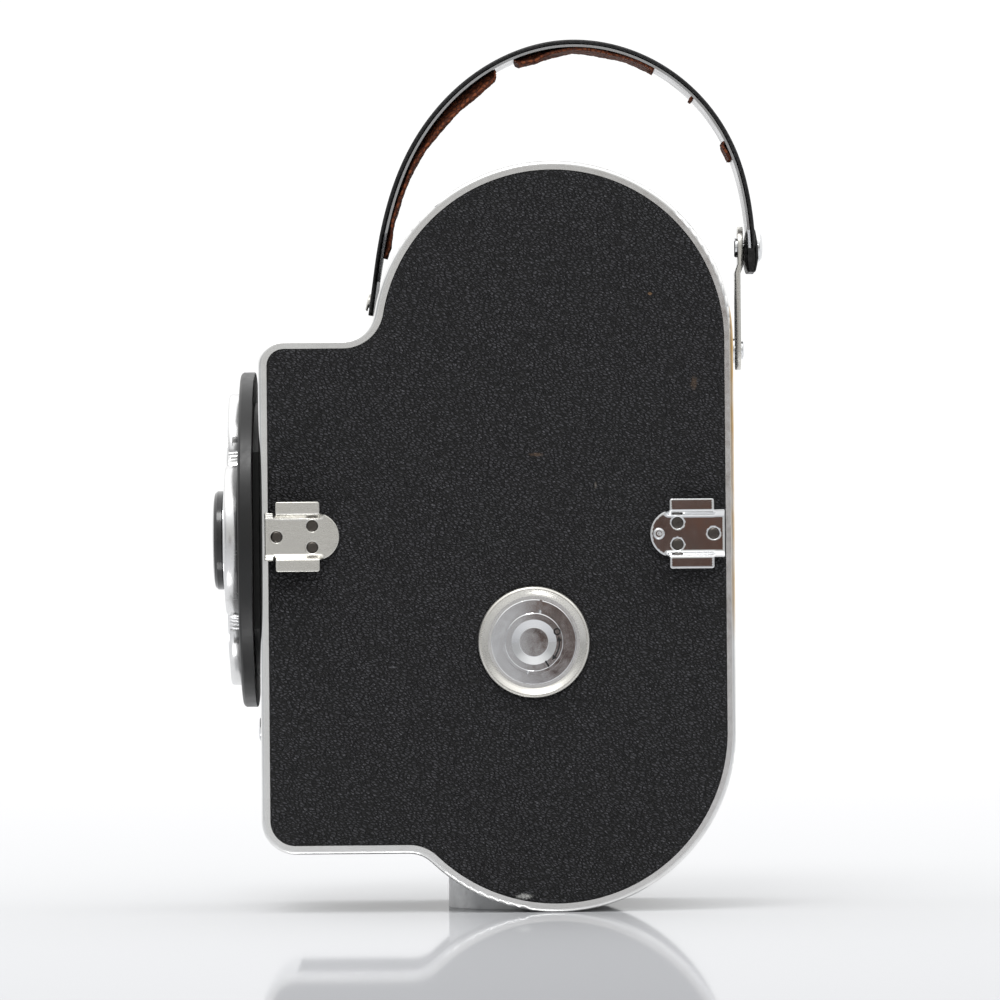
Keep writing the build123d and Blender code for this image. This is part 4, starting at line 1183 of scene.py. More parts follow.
@dataclass
class LightTrap:
    """Felt bead in the groove round the case mouth."""

    depth: float = 1.45
    half_width: float = 0.42
    floor_x: float = 28.02
    top_x: float = 29.0

    def build(self) -> None:
        """Sweep a rounded bead round the groove, its top slightly uneven."""
        rings = []
        middle = (self.floor_x + self.top_x) / 2
        rise = (self.top_x - self.floor_x) / 2
        loop = OUTLINE.loop(self.depth, 1.2)
        loops = {}
        for angle in range(0, 360, 45):
            across = round(self.depth + self.half_width * math.cos(math.radians(angle)), 4)
            loops[angle] = inset(loop, across - self.depth)
        for k in range(len(loops[0])):
            wave = 0.06 * math.sin(k * 1.7) + 0.04 * math.sin(k * 0.61)
            rings.append(np.array([
                (middle + (rise - 0.08 + wave * 0.5) * math.sin(math.radians(angle)), *loops[angle][k])
                for angle in range(0, 360, 45)
            ]))
        points, faces = swept(rings, closed=True)
        piece = mesh_piece("light_trap_felt", points, faces, FELT.make())
        outward(piece)
        place_piece(piece, "case", "felt", "door_seal")
        LOG.info("felt bead of %d steps", len(rings))


# Turret.


@dataclass
class TurretPlate:
    """Bright three-lobed plate with knurled waists and a stop notch beside each lobe."""

    orbit: float = 24.5
    lobe: float = 21.7
    waist: float = 8.0
    back_y: float = -79.7
    front_y: float = -83.6
    edge: float = 0.9
    port: float = 15.2
    pivot: float = 3.05
    knurl_pitch: float = 1.15
    knurl_depth: float = 0.35
    notch_height: float = 2.5
    notch_depth: float = 2.3
    notch_arc: Point = (96.1, 102.6)

    def outline(self) -> Tuple[np.ndarray, np.ndarray]:
        """Loop of the plate about its pivot, and how far each point is along a waist, or -1 off it.

        Returns:
            The points, and one length per point.
        """
        step = 0.24
        reach = self.lobe + self.waist
        out = self.orbit * 0.5 + math.sqrt(reach ** 2 - (self.orbit * math.sin(math.radians(60))) ** 2)
        rows, waists = [], []
        for lobe in range(3):
            angle = lobe * 120.0
            centre = np.array([math.cos(math.radians(angle)), math.sin(math.radians(angle))]) * self.orbit
            hollow_angle = angle + 60.0
            toward = math.radians(hollow_angle)
            hollow = np.array([math.cos(toward), math.sin(toward)]) * out
            lean = math.degrees(math.atan2(*(hollow - centre)[::-1])) % 360
            swing = (lean - angle) % 360
            turn = (2 * hollow_angle - 2 * lean) % 360
            around = arc(tuple(centre), self.lobe, angle - swing, 2 * swing, step)
            across = arc(tuple(hollow), self.waist, lean + 180, turn - 360 if turn > 180 else turn, step)
            rows += [around, across]
            waists += [np.full(len(around), -1.0), np.arange(len(across)) * step]
        return np.vstack(rows), np.concatenate(waists)

    def build(self) -> None:
        """Make the plate from its side wall, its rounded edge and its two faces."""
        loop, waist = self.outline()
        low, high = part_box("turret_screw")
        x, z = (low.x + high.x) / 2 / MM, (low.z + high.z) / 2 / MM
        ridge = (1 - np.cos(waist * 2 * math.pi / self.knurl_pitch)) / 2
        knurl = np.where(waist >= 0, self.knurl_depth * ridge, 0)
        notched = np.zeros(len(loop), dtype=bool)
        for lobe in (0, 120, 240):
            turn = math.radians(lobe)
            away = loop - np.array([math.cos(turn), math.sin(turn)]) * self.orbit
            flank = np.abs((np.degrees(np.arctan2(away[:, 1], away[:, 0])) - lobe + 180) % 360 - 180)
            round_lobe = np.abs(np.hypot(away[:, 0], away[:, 1]) - self.lobe) < 0.05
            notched |= round_lobe & (flank > self.notch_arc[0]) & (flank < self.notch_arc[1])
        levels = [
            (self.back_y, 0.15), (self.back_y - 0.25, 0.0), (self.back_y - self.notch_height, 0.0),
            (self.back_y - self.notch_height - 0.02, 0.0), (self.front_y + self.edge, 0.0),
            (self.front_y + 0.45, 0.12), (self.front_y + 0.14, 0.4), (self.front_y, 0.9),
        ]
        rings = []
        for number, (y, depth) in enumerate(levels):
            ring = inset(loop, depth)
            fade = 1.0 if 1 <= number <= 4 else 0.35
            drawn = inset(loop, 1.0) - loop
            ring = ring + drawn * (knurl * fade)[:, None]
            if number <= 2:
                ring = np.where(notched[:, None], ring + drawn * self.notch_depth, ring)
            rings.append(np.column_stack([ring[:, 0] + x, np.full(len(ring), y), ring[:, 1] + z]))
        points, faces = swept(rings)
        faces = faces[:-2]
        count = len(loop)
        ports = [
            circle((self.orbit * math.cos(a), self.orbit * math.sin(a)), self.port, 0.5)
            for a in map(math.radians, (0, 120, 240))
        ]
        holes = ports + [circle((0.0, 0.0), self.pivot, 0.5)]
        start = len(points)
        extra = []
        for y in (self.back_y, self.front_y):
            for hole in holes:
                extra.append(np.column_stack([hole[:, 0] + x, np.full(len(hole), y), hole[:, 1] + z]))
        points = np.vstack([points] + extra)
        sizes = [len(hole) for hole in holes]
        for offset, ring_start in ((0, 0), (sum(sizes), (len(levels) - 1) * count)):
            outer = list(range(ring_start, ring_start + count))
            numbers = [outer]
            first = start + offset
            for size in sizes:
                numbers.append(list(range(first, first + size)))
                first += size
            flat_numbers = [n for group in numbers for n in group]
            flat = [Vector((points[n][0], points[n][2])) for n in flat_numbers]
            edges = []
            begin = 0
            for group in numbers:
                span = list(range(begin, begin + len(group)))
                edges += list(zip(span, span[1:] + span[:1]))
                begin += len(group)
            found = geometry.delaunay_2d_cdt(flat, edges, [], 0, 1e-5)
            where = [origin[0] if origin else -1 for origin in found[3]]
            triangles = np.array(found[2])
            placed = np.array([tuple(v) for v in found[0]])
            middles = placed[triangles].mean(axis=1)
            outer_loop = np.array([(points[n][0], points[n][2]) for n in outer])
            kept = inside(outer_loop, middles)
            for hole in holes:
                kept &= ~inside(hole + (x, z), middles)
            faces += [
                [flat_numbers[where[n]] for n in tri] for tri in triangles[kept]
                if min(where[n] for n in tri) >= 0
            ]
        first = start
        for size in sizes:
            for k in range(size):
                onward = (k + 1) % size
                faces.append([first + k, first + onward, first + sum(sizes) + onward, first + sum(sizes) + k])
            first += size
        piece = mesh_piece("knurled_turret_plate", points, faces, TURRET_CHROME.make())
        outward(piece)
        shade_by_angle(piece, 40)
        place_piece(piece, "turret", "turret_chrome", "turret_plate")


def shade_by_angle(piece: bpy.types.Object, degrees: float) -> None:
    """Keep edges sharp in the shading where the faces meet at more than an angle.

    Args:
        piece: mesh object to change.
        degrees: the angle.
    """
    work = bmesh.new()
    work.from_mesh(piece.data)
    limit = math.radians(degrees)
    for edge in work.edges:
        edge.smooth = len(edge.link_faces) == 2 and edge.calc_face_angle(0) < limit
    work.to_mesh(piece.data)
    work.free()


def eased(node: str, body: str, slot: str, width: float, segments: int = 2) -> bpy.types.Object:
    """Stand a copy of a node in its place with its sharp edges eased.

    Args:
        node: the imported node.
        body: body that it rides on.
        slot: its material slot.
        width: how wide each eased edge is.
        segments: steps round the edge.

    Returns:
        The eased piece.
    """
    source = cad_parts[node]
    work = bmesh.new()
    work.from_mesh(source.data)
    bmesh.ops.remove_doubles(work, verts=work.verts, dist=0.002 * MM)
    bmesh.ops.dissolve_limit(work, angle_limit=math.radians(0.6), verts=work.verts, edges=work.edges)
    mesh = bpy.data.meshes.new(f"{node}_eased")
    work.to_mesh(mesh)
    work.free()
    if mesh.has_custom_normals:
        mesh.normals_split_custom_set([(0.0, 0.0, 0.0)] * len(mesh.loops))
    mesh.materials.clear()
    mesh.materials.append(SLOTS[slot].make())
    piece = bpy.data.objects.new(f"{node}_eased", mesh)
    bpy.context.scene.collection.objects.link(piece)
    bevel = piece.modifiers.new("ease", "BEVEL")
    bevel.width = width * MM
    bevel.segments = segments
    bevel.limit_method = "ANGLE"
    bevel.angle_limit = math.radians(35)
    bevel.harden_normals = False
    bake_modifiers(piece)
    piece.data.polygons.foreach_set("use_smooth", [True] * len(piece.data.polygons))
    shade_by_angle(piece, 32)
    place_piece(piece, body, slot, node)
    return piece


@dataclass
class FinderShoe:
    """One shoe of the viewfinder: a stamped sheet with a round end and two raised lips."""

    node: str
    slot: str
    way: int
    length: float = 21.5
    half: float = 6.9
    lips: Point = (3.1, 15.9)
    lip_reach: float = 10.1
    gauge: float = 0.9
    rise: float = 2.1
    low_rise: float = 1.0
    bend_at: Point = (5.0, 6.7)
    screws: Tuple[Point, ...] = ((3.4, 0.0), (13.7, 3.1), (13.7, -3.1))
    hole: float = 1.62

    def plan(self) -> np.ndarray:
        """Anticlockwise outline, measured along from the square end and across from the middle.

        Returns:
            One row of two coordinates per point.
        """
        start, end = self.lips
        middle = self.length - self.half
        corner, step = 0.7, 0.35
        tuck = math.degrees(math.asin(min(1.0, (end - middle + 0.01) / self.half)))
        low = self.half * math.cos(math.radians(tuck))
        half = np.vstack([
            arc((middle, 0.0), self.half, 0, 90 - tuck, step),
            run((end, low), (end, self.lip_reach - corner), step),
            arc((end - corner, self.lip_reach - corner), corner, 0, 90, step),
            run((end - corner, self.lip_reach), (start + corner, self.lip_reach), step),
            arc((start + corner, self.lip_reach - corner), corner, 90, 90, step),
            run((start, self.lip_reach - corner), (start, self.half), step),
            run((start, self.half), (0.3, self.half), step),
            run((0.3, self.half), (0.0, self.half - 0.3), step),
            run((0.0, self.half - 0.3), (0.0, 0.0), step),
        ])
        other = half[::-1] * (1, -1)
        return np.vstack([half, other[:-1]])

    def bend(self, u: np.ndarray, v: np.ndarray) -> np.ndarray:
        """Rise of the sheet: flat in the middle, up over the lips, less beside the square end.

        Args:
            u: length from the square end.
            v: distance across from the middle.

        Returns:
            One height per point.
        """
        share = np.clip((np.abs(v) - self.bend_at[0]) / (self.bend_at[1] - self.bend_at[0]), 0, 1)
        share = share * share * (3 - 2 * share)
        start, end = self.lips
        along = np.clip((u - start + 0.5) / 0.5, 0, 1)
        fade = 1 - np.clip((u - end) / 1.2, 0, 1)
        return share * (self.low_rise + (self.rise - self.low_rise) * along) * fade

    def build(self) -> None:
        """Make the sheet."""
        low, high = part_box(self.node)
        edge = (low.y if self.way > 0 else high.y) / MM
        middle = (low.z + high.z) / 2 / MM
        top = low.x / MM + self.gauge
        plan = self.plan()
        holes = [circle(place, self.hole, 0.3) for place in self.screws]

        def to_space(u: np.ndarray, v: np.ndarray, h: np.ndarray) -> np.ndarray:
            """Lay the sheet on the door."""
            return np.column_stack([top + h, edge + self.way * u, middle + v])

        sheet = Sheet(
            f"{self.node}_stamped", "door", [plan], holes, to_space, spacing=0.42,
            thickness=self.gauge - 0.02, roll=0.3, relief=0.0, bend=self.bend, finish=SLOTS[self.slot],
        )
        place_piece(sheet.build(), "door", self.slot, self.node)


@dataclass
class HardWare:
    """Plated fittings whose stamped or turned edges are eased."""

    def build(self) -> None:
        """Ease each fitting by what its making leaves."""
        FinderShoe("front_finder_clip", "nickel", 1).build()
        FinderShoe("rear_finder_clip", "chrome", -1, screws=((3.2, 0.0), (13.6, 3.1), (13.6, -3.1))).build()
        self.stop_pin()
        eased("handle_link", "handle", "nickel", 0.25)
        eased("crank_arm", "crank", "chrome", 0.3)

    def stop_pin(self) -> None:
        """Riveted pin near the round end of the rear shoe."""
        low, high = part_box("rear_finder_clip")
        y, z = high.y / MM - 19.0, (low.z + high.z) / 2 / MM
        rings = []
        for x, radius in ((38.5, 1.7), (39.6, 1.72), (39.95, 1.62), (40.15, 1.4), (40.2, 0.9), (40.12, 0.3)):
            ring = circle((y, z), radius, 0.3 * radius / 1.7)
            rings.append(np.column_stack([np.full(len(ring), x), ring]))
        points, faces = swept(rings)
        piece = mesh_piece("shoe_stop_pin", points, faces, CHROME.make())
        outward(piece)
        place_piece(piece, "door", "chrome")


# Lock.


@dataclass
class LockMarks:
    """Generic engraved marks on the lock's flat ring: a ring for open, a bar for shut, an arrow between."""

    radius: float = 7.3
    ring_angle: float = 24.0
    bar_angle: float = -59.0
    arrow: Point = (-34.0, 2.0)
    proud: float = 0.03
    depth: float = 0.1

    def slab(self, name: str, loops: Sequence[np.ndarray], strips: Sequence[Sequence[int]]) -> None:
        """Raise flat strips between paired loops into one thin closed piece.

        Args:
            name: name of the piece.
            loops: outlines on the lock.
            strips: point numbers of each flat face.
        """
        low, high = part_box("lock_knob")
        y, z = (low.y + high.y) / 2 / MM, (low.z + high.z) / 2 / MM
        top_x = high.x / MM + self.proud
        flat = np.vstack(loops)
        top = np.column_stack([np.full(len(flat), top_x), flat[:, 0] + y, flat[:, 1] + z])
        bottom = top - (self.depth, 0, 0)
        count = len(flat)
        faces = [list(strip) for strip in strips] + [[n + count for n in strip][::-1] for strip in strips]
        sides = {}
        for strip in strips:
            for a, b in zip(strip, list(strip[1:]) + [strip[0]]):
                sides[(a, b)] = True
        faces += [[b, a, a + count, b + count] for a, b in sides if (b, a) not in sides]
        piece = mesh_piece(name, np.vstack([top, bottom]), faces, ENGRAVING.make(), smooth=False)
        outward(piece)
        place_piece(piece, "lock", "black_enamel")

    def build(self) -> None:
        """Cut the ring, the double-headed arrow and the bar."""
        at = math.radians(self.ring_angle)
        centre = (self.radius * math.cos(at), self.radius * math.sin(at))
        outer = circle(centre, 1.05, 0.2)
        count = len(outer)
        inner = np.array(centre) + (outer - centre) * 0.6
        self.slab(
            "lock_mark_ring", [outer, inner],
            [[k, (k + 1) % count, count + (k + 1) % count, count + k] for k in range(count)],
        )
        angles = np.radians(np.linspace(*self.arrow, 25))
        head = math.radians(11.0)
        loops, strips = [], []
        for radius in (self.radius - 0.2, self.radius + 0.2):
            loops.append(np.column_stack([radius * np.cos(angles), radius * np.sin(angles)]))
        strips += [[k, 25 + k, 25 + k + 1, k + 1] for k in range(24)]
        number = 50
        for end, way in ((angles[0], -1), (angles[-1], 1)):
            tip = (self.radius * math.cos(end + way * head), self.radius * math.sin(end + way * head))
            left = ((self.radius - 0.75) * math.cos(end), (self.radius - 0.75) * math.sin(end))
            right = ((self.radius + 0.75) * math.cos(end), (self.radius + 0.75) * math.sin(end))
            loops.append(np.array([tip, left, right]))
            strips.append([number, number + 1, number + 2] if way < 0 else [number, number + 2, number + 1])
            number += 3
        self.slab("lock_mark_arrow", loops, strips)
        at = math.radians(self.bar_angle)
        out = np.array([math.cos(at), math.sin(at)])
        side = np.array([-out[1], out[0]])
        corners = [
            out * (self.radius + r) + side * w
            for r, w in ((-1.0, -0.25), (1.0, -0.25), (1.0, 0.25), (-1.0, 0.25))
        ]
        self.slab("lock_mark_bar", [np.array(corners)], [[0, 1, 2, 3]])


# Handle.


def smooth_path(knots: np.ndarray, count: int) -> Tuple[np.ndarray, np.ndarray]:
    """Natural cubic spline through knots.

    Args:
        knots: the points that it passes through.
        count: number of points wanted, evenly spaced along the chords.

    Returns:
        The points, and the unit direction of travel at each.
    """
    at = np.concatenate([[0], np.cumsum(np.linalg.norm(np.diff(knots, axis=0), axis=1))])
    size = len(knots)
    gaps = np.diff(at)
    system = np.zeros((size, size))
    right = np.zeros((size, knots.shape[1]))
    system[0, 0] = system[-1, -1] = 1
    for k in range(1, size - 1):
        system[k, k - 1:k + 2] = gaps[k - 1], 2 * (gaps[k - 1] + gaps[k]), gaps[k]
        right[k] = 6 * ((knots[k + 1] - knots[k]) / gaps[k] - (knots[k] - knots[k - 1]) / gaps[k - 1])
    bend = np.linalg.solve(system, right)
    wanted = np.linspace(0, at[-1], count)
    part = np.clip(np.searchsorted(at, wanted, side="right") - 1, 0, size - 2)
    gap = gaps[part][:, None]
    a = (at[part + 1] - wanted)[:, None] / gap
    b = (wanted - at[part])[:, None] / gap
    points = a * knots[part] + b * knots[part + 1]
    points += ((a ** 3 - a) * bend[part] + (b ** 3 - b) * bend[part + 1]) * gap ** 2 / 6
    travel = (knots[part + 1] - knots[part]) / gap
    travel += (-(3 * a ** 2 - 1) * bend[part] + (3 * b ** 2 - 1) * bend[part + 1]) * gap / 6
    return points, travel / np.linalg.norm(travel, axis=1, keepdims=True)


@dataclass
class CarryHandle:
    """Strap handle: a leather top over a steel band, with what is left of a brown lining under it."""

    knots: Tuple[Point, ...] = (
        (-42.1, 173.4), (-41.4, 178.5), (-39.3, 192.2), (-30.8, 219.5), (-12.3, 242.1), (14.0, 252.8),
        (37.2, 249.2), (54.5, 237.5), (65.7, 220.6), (70.4, 201.7), (71.4, 190.0),
    )
    leather: float = 1.36
    band: float = 0.7
    half_width: float = 12.5
    tab_half_width: float = 5.0
    tab_top_z: float = 183.0
    taper_top_z: float = 197.0
    arch: Point = (16.5, 192.0)
    # Depth of the lining's torn edge below the top of the strap, by angle round the arch, 180 at the front.
    torn: Tuple[Tuple[float, float], ...] = (
        (182, 3.0), (178, 4.0), (170, 3.3), (160, 3.7), (150, 3.9), (140, 5.0), (130, 5.6), (120, 5.9),
        (113, 5.0), (111, 0.0), (107, 0.0), (105, 4.2), (100, 4.9), (93, 3.6), (88, 2.9), (80, 3.2),
        (70, 2.9), (64, 2.4), (60, 0.0), (53, 0.0), (50, 2.6), (46, 0.0), (36, 0.0), (33, 3.4), (29, 3.1),
        (25, 0.0),
    )

    def width_at(self, z: np.ndarray) -> np.ndarray:
        """Half width of the strap by height: a narrow tab, a taper and the full width."""
        return np.interp(z, [self.tab_top_z, self.taper_top_z], [self.tab_half_width, self.half_width])

    def strap(self) -> None:
        """Leather top with turned edges, a crowned back and a pressed line inside each edge."""
        points, travel = smooth_path(np.array(self.knots), 220)
        under = np.column_stack([travel[:, 1], -travel[:, 0]])
        kept = ~((points[:, 0] > 60) & (points[:, 1] < 190.5))
        rings = []
        for (y, z), (down_y, down_z) in zip(points[kept], under[kept]):
            half = float(self.width_at(np.array(z)))
            rings.append(self.section(y, z, down_y, down_z, half))
        skin, faces = swept(rings)
        piece = mesh_piece("strap_leather_top", skin, faces, STRAP_LEATHER.make())
        outward(piece)
        self.wrap(piece)

    def section(self, y: float, z: float, down_y: float, down_z: float, half: float) -> np.ndarray:
        """One ring of the strap, from its left edge over the back and under again.

        Args:
            y, z: middle of the ring.
            down_y, down_z: direction through the strap's thickness.
            half: half the width there.

        Returns:
            One row of X, Y and Z per point.
        """
        steps = np.linspace(-1, 1, 33)
        across = steps * half
        edge = half - np.abs(across)
        roll = 0.6
        top = np.where(edge < roll, roll - np.sqrt(np.clip(roll ** 2 - (roll - edge) ** 2, 0, None)), 0.0)
        top = top + 0.16 * np.exp(-((edge - 2.2) / 0.35) ** 2)
        across_low = across[::-1]
        edge_low = half - np.abs(across_low)
        low_roll = 0.35
        low = np.where(
            edge_low < low_roll,
            self.leather - (low_roll - np.sqrt(np.clip(low_roll ** 2 - (low_roll - edge_low) ** 2, 0, None))),
            self.leather,
        )
        depth = np.concatenate([top, low[1:-1]])
        across = np.concatenate([across, across_low[1:-1]])
        return np.column_stack([across, y + down_y * depth, z + down_z * depth])

    def wrap(self, strap: bpy.types.Object) -> None:
        """Leather folded round the strap's rear end, pressed in at the rivet.

        Args:
            strap: the strap that it covers.
        """
        work = bmesh.new()
        bmesh.ops.create_cube(work, size=1.0)
        size, middle = (19.0, 4.1, 12.6), (0.0, 70.0, 191.3)
        for vert in work.verts:
            vert.co = Vector([(c * s + m) * MM for c, s, m in zip(vert.co, size, middle)])
        bmesh.ops.subdivide_edges(work, edges=work.edges, cuts=5, use_grid_fill=True)
        bmesh.ops.bevel(
            work, geom=[e for e in work.edges if e.calc_face_angle(0) > 1.0], offset=0.9 * MM, segments=4,
            affect="EDGES", profile=0.6,
        )
        for vert in work.verts:
            x, y, z = (c / MM for c in vert.co)
            pressed = 0.3 * math.exp(-((x / 4.5) ** 2 + ((z - 192.4) / 3.6) ** 2))
            wave = 0.12 * math.sin(0.9 * x + 0.6 * z)
            above = min(1.0, max(0.0, (z - 193.0) / 4.5))
            below = min(1.0, max(0.0, (189.0 - z) / 3.5))
            thin = 1 - 0.45 * above - 0.35 * below
            vert.co.y = (70.0 + (y - 70.0) * thin - (pressed if y > 70 else 0.0) + 0.5 * wave) * MM
            vert.co.z += 0.25 * math.sin(0.35 * x + 1) * MM
        mesh = bpy.data.meshes.new("strap_end_fold")
        work.to_mesh(mesh)
        work.free()
        mesh.materials.append(STRAP_LEATHER.make())
        mesh.polygons.foreach_set("use_smooth", [True] * len(mesh.polygons))
        fold = bpy.data.objects.new("strap_end_fold", mesh)
        bpy.context.scene.collection.objects.link(fold)
        place_piece(strap, "handle", "strap_leather", "handle_strap")
        place_piece(fold, "handle", "strap_leather")

    def lining(self) -> None:
        """Torn lining: sheets that still cling to the band, curled down along their free edges."""
        points, travel = smooth_path(np.array(self.knots), 420)
        under = np.column_stack([travel[:, 1], -travel[:, 0]])
        angle = np.degrees(np.arctan2(points[:, 1] - self.arch[1], points[:, 0] - self.arch[0])) % 360
        table = np.array(self.torn)[::-1]
        hang = np.interp(angle, table[:, 0], table[:, 1], left=0.0, right=0.0)
        start = self.leather + self.band + 0.06
        thick = 0.75
        across = np.linspace(-1, 1, 25)
        rows = len(points)
        ragged = 0.35 * np.sin(np.arange(rows) * 0.9) + 0.3 * np.sin(np.arange(rows) * 0.37 + 2)
        ragged += 0.25 * np.sin(np.arange(rows) * 2.3 + 1)
        lines = []
        present = np.zeros((rows, len(across)), dtype=bool)
        for k in range(rows):
            half = float(self.width_at(points[k, 1])) - 1.0
            curl = max(0.0, hang[k] - start - thick)
            line = []
            for j, share in enumerate(across):
                edge = max(0.0, (abs(share) - 0.35) / 0.65)
                side = 1.0 if share > 0 else 0.75
                droop = curl * side * edge ** 1.6 + 0.1 * math.sin(k * 0.21 + j * 0.7)
                depth = start + max(0.0, droop) + 0.12 * ragged[k] * edge
                line.append((share * (half - 0.5 * abs(ragged[k]) * edge), depth))
                present[k, j] = hang[k] > 2.2 + 0.35 * math.sin(j * 1.9 + k * 0.05) * (abs(share) < 0.9)
            lines.append(line)
        verts, faces = [], []
        count = len(across)
        for layer in (0.0, thick):
            for k in range(rows):
                for x, depth in lines[k]:
                    at = points[k] + under[k] * (depth + layer)
                    verts.append((x, at[0], at[1]))
        total = rows * count
        quads = [
            (k * count + j, k * count + j + 1, (k + 1) * count + j + 1, (k + 1) * count + j)
            for k in range(rows - 1) for j in range(count - 1)
            if present[k, j] and present[k + 1, j] and present[k, j + 1] and present[k + 1, j + 1]
            and not (points[k, 0] < 60 and points[k, 1] < 188.5)
        ]
        sides = {}
        for quad in quads:
            faces.append(list(quad))
            faces.append([n + total for n in quad][::-1])
            for a, b in zip(quad, quad[1:] + quad[:1]):
                sides[(a, b)] = True
        faces += [[b, a, a + total, b + total] for a, b in sides if (b, a) not in sides]
        piece = mesh_piece("torn_brown_lining", np.array(verts), faces, LINING_LEATHER.make())
        work = bmesh.new()
        work.from_mesh(piece.data)
        loose = [v for v in work.verts if not v.link_faces]
        bmesh.ops.delete(work, geom=loose, context="VERTS")
        bmesh.ops.recalc_face_normals(work, faces=work.faces)
        work.to_mesh(piece.data)
        work.free()
        place_piece(piece, "handle", "lining_leather", "handle_lining")

    def build(self) -> None:
        """Make the strap and its lining."""
        self.strap()
        self.lining()


# Counter numbers.


@dataclass
class CounterNumbers:
    """Plain footage numbers on the counter's dial, 0 to 90 by tens."""

    radius: float = 5.7
    height: float = 2.0

    def build(self) -> None:
        """Set ten numbers round the dial, read from the mechanism side."""
        low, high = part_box("counter_dial")
        y, z = (low.y + high.y) / 2 / MM, (low.z + high.z) / 2 / MM
        face_x = low.x / MM
        upright = Matrix(((0, 0, -1), (-1, 0, 0), (0, 1, 0))).to_4x4()
        for step in range(10):
            text = bpy.data.curves.new(f"counter_number_{step}", "FONT")
            text.body = str(step * 10)
            text.size = self.height * MM
            text.align_x = "CENTER"
            text.align_y = "CENTER"
            text.extrude = 0.04 * MM
            holder = bpy.data.objects.new(f"counter_text_{step}", text)
            bpy.context.scene.collection.objects.link(holder)
            graph = bpy.context.evaluated_depsgraph_get()
            mesh = bpy.data.meshes.new_from_object(holder.evaluated_get(graph))
            bpy.data.objects.remove(holder)
            turn = math.radians(90 - 36 * step)
            spin = Matrix.Rotation(math.radians(36 * step), 4, "X")
            at = Vector((
                face_x - 0.01, y - self.radius * math.cos(turn), z + self.radius * math.sin(turn)
            )) * MM
            mesh.transform(Matrix.Translation(at) @ spin @ upright)
            mesh.materials.clear()
            mesh.materials.append(ENGRAVING.make())
            number = bpy.data.objects.new(f"counter_number_{step}", mesh)
            bpy.context.scene.collection.objects.link(number)
            place_piece(number, "counter", "black_enamel")


# Studio.


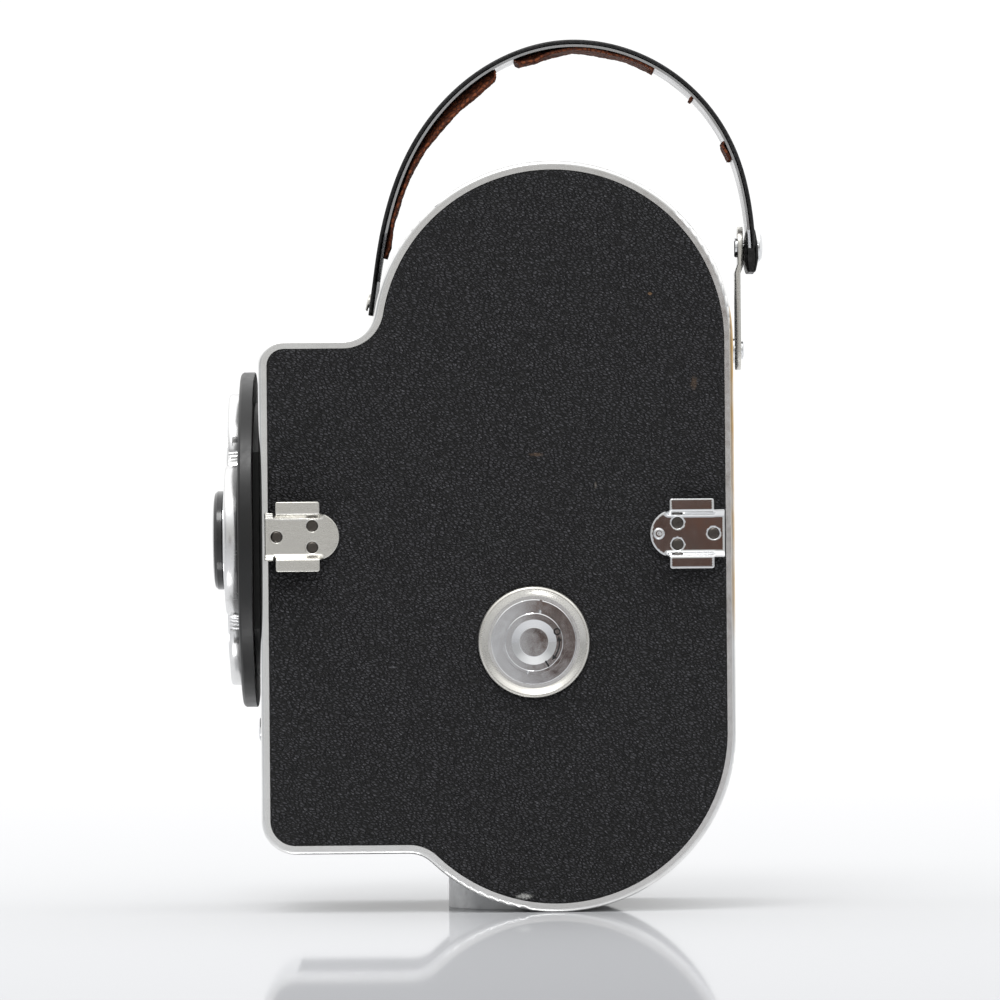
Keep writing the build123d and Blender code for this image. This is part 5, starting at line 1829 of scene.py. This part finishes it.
@dataclass
class Studio:
    """Pale sweep, soft light and the camera, square on to the film door."""

    distance: float = 2.068
    lens: float = 258.5
    eye_y: float = -0.00403
    eye_z: float = 0.1189
    roll: float = 0.5

    def camera(self) -> None:
        """Long lens two metres from the door."""
        data = bpy.data.cameras.new("camera")
        data.lens = self.lens
        data.sensor_width = 36.0
        data.clip_end = 60.0
        eye = bpy.data.objects.new("camera", data)
        bpy.context.scene.collection.objects.link(eye)
        eye.location = (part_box("door_shell")[1].x + self.distance, self.eye_y, self.eye_z)
        look = Matrix(((0, 0, 1), (1, 0, 0), (0, 1, 0)))
        eye.rotation_euler = (look @ Matrix.Rotation(-math.radians(self.roll), 3, "Z")).to_euler()
        bpy.context.scene.camera = eye

    def floor(self) -> None:
        """Glossy white sweep: a soft white with painted shade darkening it towards the camera, and a share of
        clear reflection.
        """
        made = bpy.data.materials.new("glossy_white_sweep")
        made.use_nodes = True
        tree = made.node_tree
        tree.nodes.clear()
        place = add(tree, "ShaderNodeTexCoord").outputs["Object"]
        parts = add(tree, "ShaderNodeSeparateXYZ", links={"Vector": place})
        # Painted shade: the sweep's colour falls from near white far behind the case to grey nearest the
        # camera.
        shade = ramp(
            tree, spread(tree, parts.outputs["X"], -1.2, 0.6, 0.0, 1.0),
            [(0.0, "#e8e8e9"), (0.256, "#d8d8da"), (0.6, "#cbccce"), (0.78, "#c0c1c4"), (0.87, "#babbbe"),
             (1.0, "#b0b1b4")],
        )
        soft = add(tree, "ShaderNodeBsdfDiffuse", links={"Color": shade})
        clear = add(tree, "ShaderNodeBsdfGlossy", {"Color": linear("#ffffff"), "Roughness": 0.04})
        both = add(
            tree, "ShaderNodeMixShader", {0: 0.34}, {1: soft.outputs["BSDF"], 2: clear.outputs["BSDF"]}
        )
        add(tree, "ShaderNodeOutputMaterial", links={"Surface": both.outputs["Shader"]})
        size = 14.0
        points = np.array([(-size, -size, 0), (size, -size, 0), (size, size, 0), (-size, size, 0)]) / MM
        sweep = mesh_piece("sweep", points, [[0, 1, 2, 3]], made, smooth=False)

    def dark_card(self) -> None:
        """The dark, brownish shape behind the lens that the polished fittings mirror."""
        made = bpy.data.materials.new("dark_room_behind_lens")
        made.use_nodes = True
        tree = made.node_tree
        tree.nodes.clear()
        patches = add(
            tree, "ShaderNodeTexNoise", {"Scale": 1.0, "Detail": 3.0},
            {"Vector": stretched(tree, (50.0, 24.0, 24.0))},
        )
        shade = ramp(
            tree, patches.outputs["Fac"],
            [(0.36, "#6a6461"), (0.44, "#3c3534"), (0.5, "#54403a"), (0.54, "#7c5645"), (0.6, "#4a3d39"),
             (0.7, "#a8a19c")],
        )
        glow = add(tree, "ShaderNodeEmission", {"Strength": 1.0}, {"Color": shade})
        add(tree, "ShaderNodeOutputMaterial", links={"Surface": glow.outputs["Emission"]})
        x, (y0, y1), (z0, z1) = 2.6, (0.012, 0.3), (0.0, 0.34)
        points = np.array([(x, y0, z0), (x, y1, z0), (x, y1, z1), (x, y0, z1)]) / MM
        card = mesh_piece("dark_card", points, [[0, 1, 2, 3]], made, smooth=False)
        card.visible_camera = False
        card.visible_diffuse = False
        card.visible_shadow = False

    def light(self, name: str, place: Tuple[float, float, float], size: float, power: float) -> None:
        """One soft panel, aimed at the middle of the object.

        Args:
            name: name of the light.
            place: where it stands, in metres.
            size: length of its side, in metres.
            power: its power, in watts.
        """
        data = bpy.data.lights.new(name, "AREA")
        data.shape = "SQUARE"
        data.size = size
        data.energy = power
        lamp = bpy.data.objects.new(name, data)
        bpy.context.scene.collection.objects.link(lamp)
        lamp.location = place
        aim = Vector((0.0, 0.0, 0.11)) - Vector(place)
        lamp.rotation_euler = aim.to_track_quat("-Z", "Y").to_euler()

    def surroundings(self) -> None:
        """White above and behind, paler grey in front, darker to the two sides of the lens."""
        world = bpy.data.worlds.new("studio")
        world.use_nodes = True
        tree = world.node_tree
        tree.nodes.clear()
        way = add(tree, "ShaderNodeTexCoord").outputs["Generated"]
        parts = add(tree, "ShaderNodeSeparateXYZ", links={"Vector": way})
        front = spread(tree, parts.outputs["X"], 0.0, 0.3, 0.0, 1.0)
        centre = spread(tree, parts.outputs["X"], 0.75, 0.97, 0.0, 1.0)
        above = spread(tree, parts.outputs["Z"], 0.3, 0.75, 0.0, 1.0)
        side = mix(tree, front, "#ffffff", "#b4b5b7")
        ahead = mix(tree, centre, side, "#d2d2d0")
        whole = mix(tree, above, ahead, "#ffffff")
        strength = spread(tree, parts.outputs["Z"], 0.25, 0.7, 1.06, 1.5)
        back = add(tree, "ShaderNodeBackground", links={"Color": whole, "Strength": strength})
        add(tree, "ShaderNodeOutputWorld", links={"Surface": back.outputs["Background"]})
        bpy.context.scene.world = world

    def build(self) -> None:
        """Set up the whole studio."""
        self.camera()
        self.floor()
        self.dark_card()
        self.surroundings()
        self.light("top_panel", (0.9, -0.25, 1.6), 0.6, 8.0)
        bpy.context.scene.view_settings.view_transform = "Standard"


def main() -> None:
    """Build every sub-assembly in order."""
    logging.basicConfig(level=logging.INFO, format="%(name)s %(message)s")
    Studio().build()
    dress_nodes()
    parts = (
        LeatherWork(), LightTrap(), TurretPlate(), HardWare(), LockMarks(), CarryHandle(), CounterNumbers()
    )
    for part in parts:
        part.build()


if __name__ == "__main__":
    main()
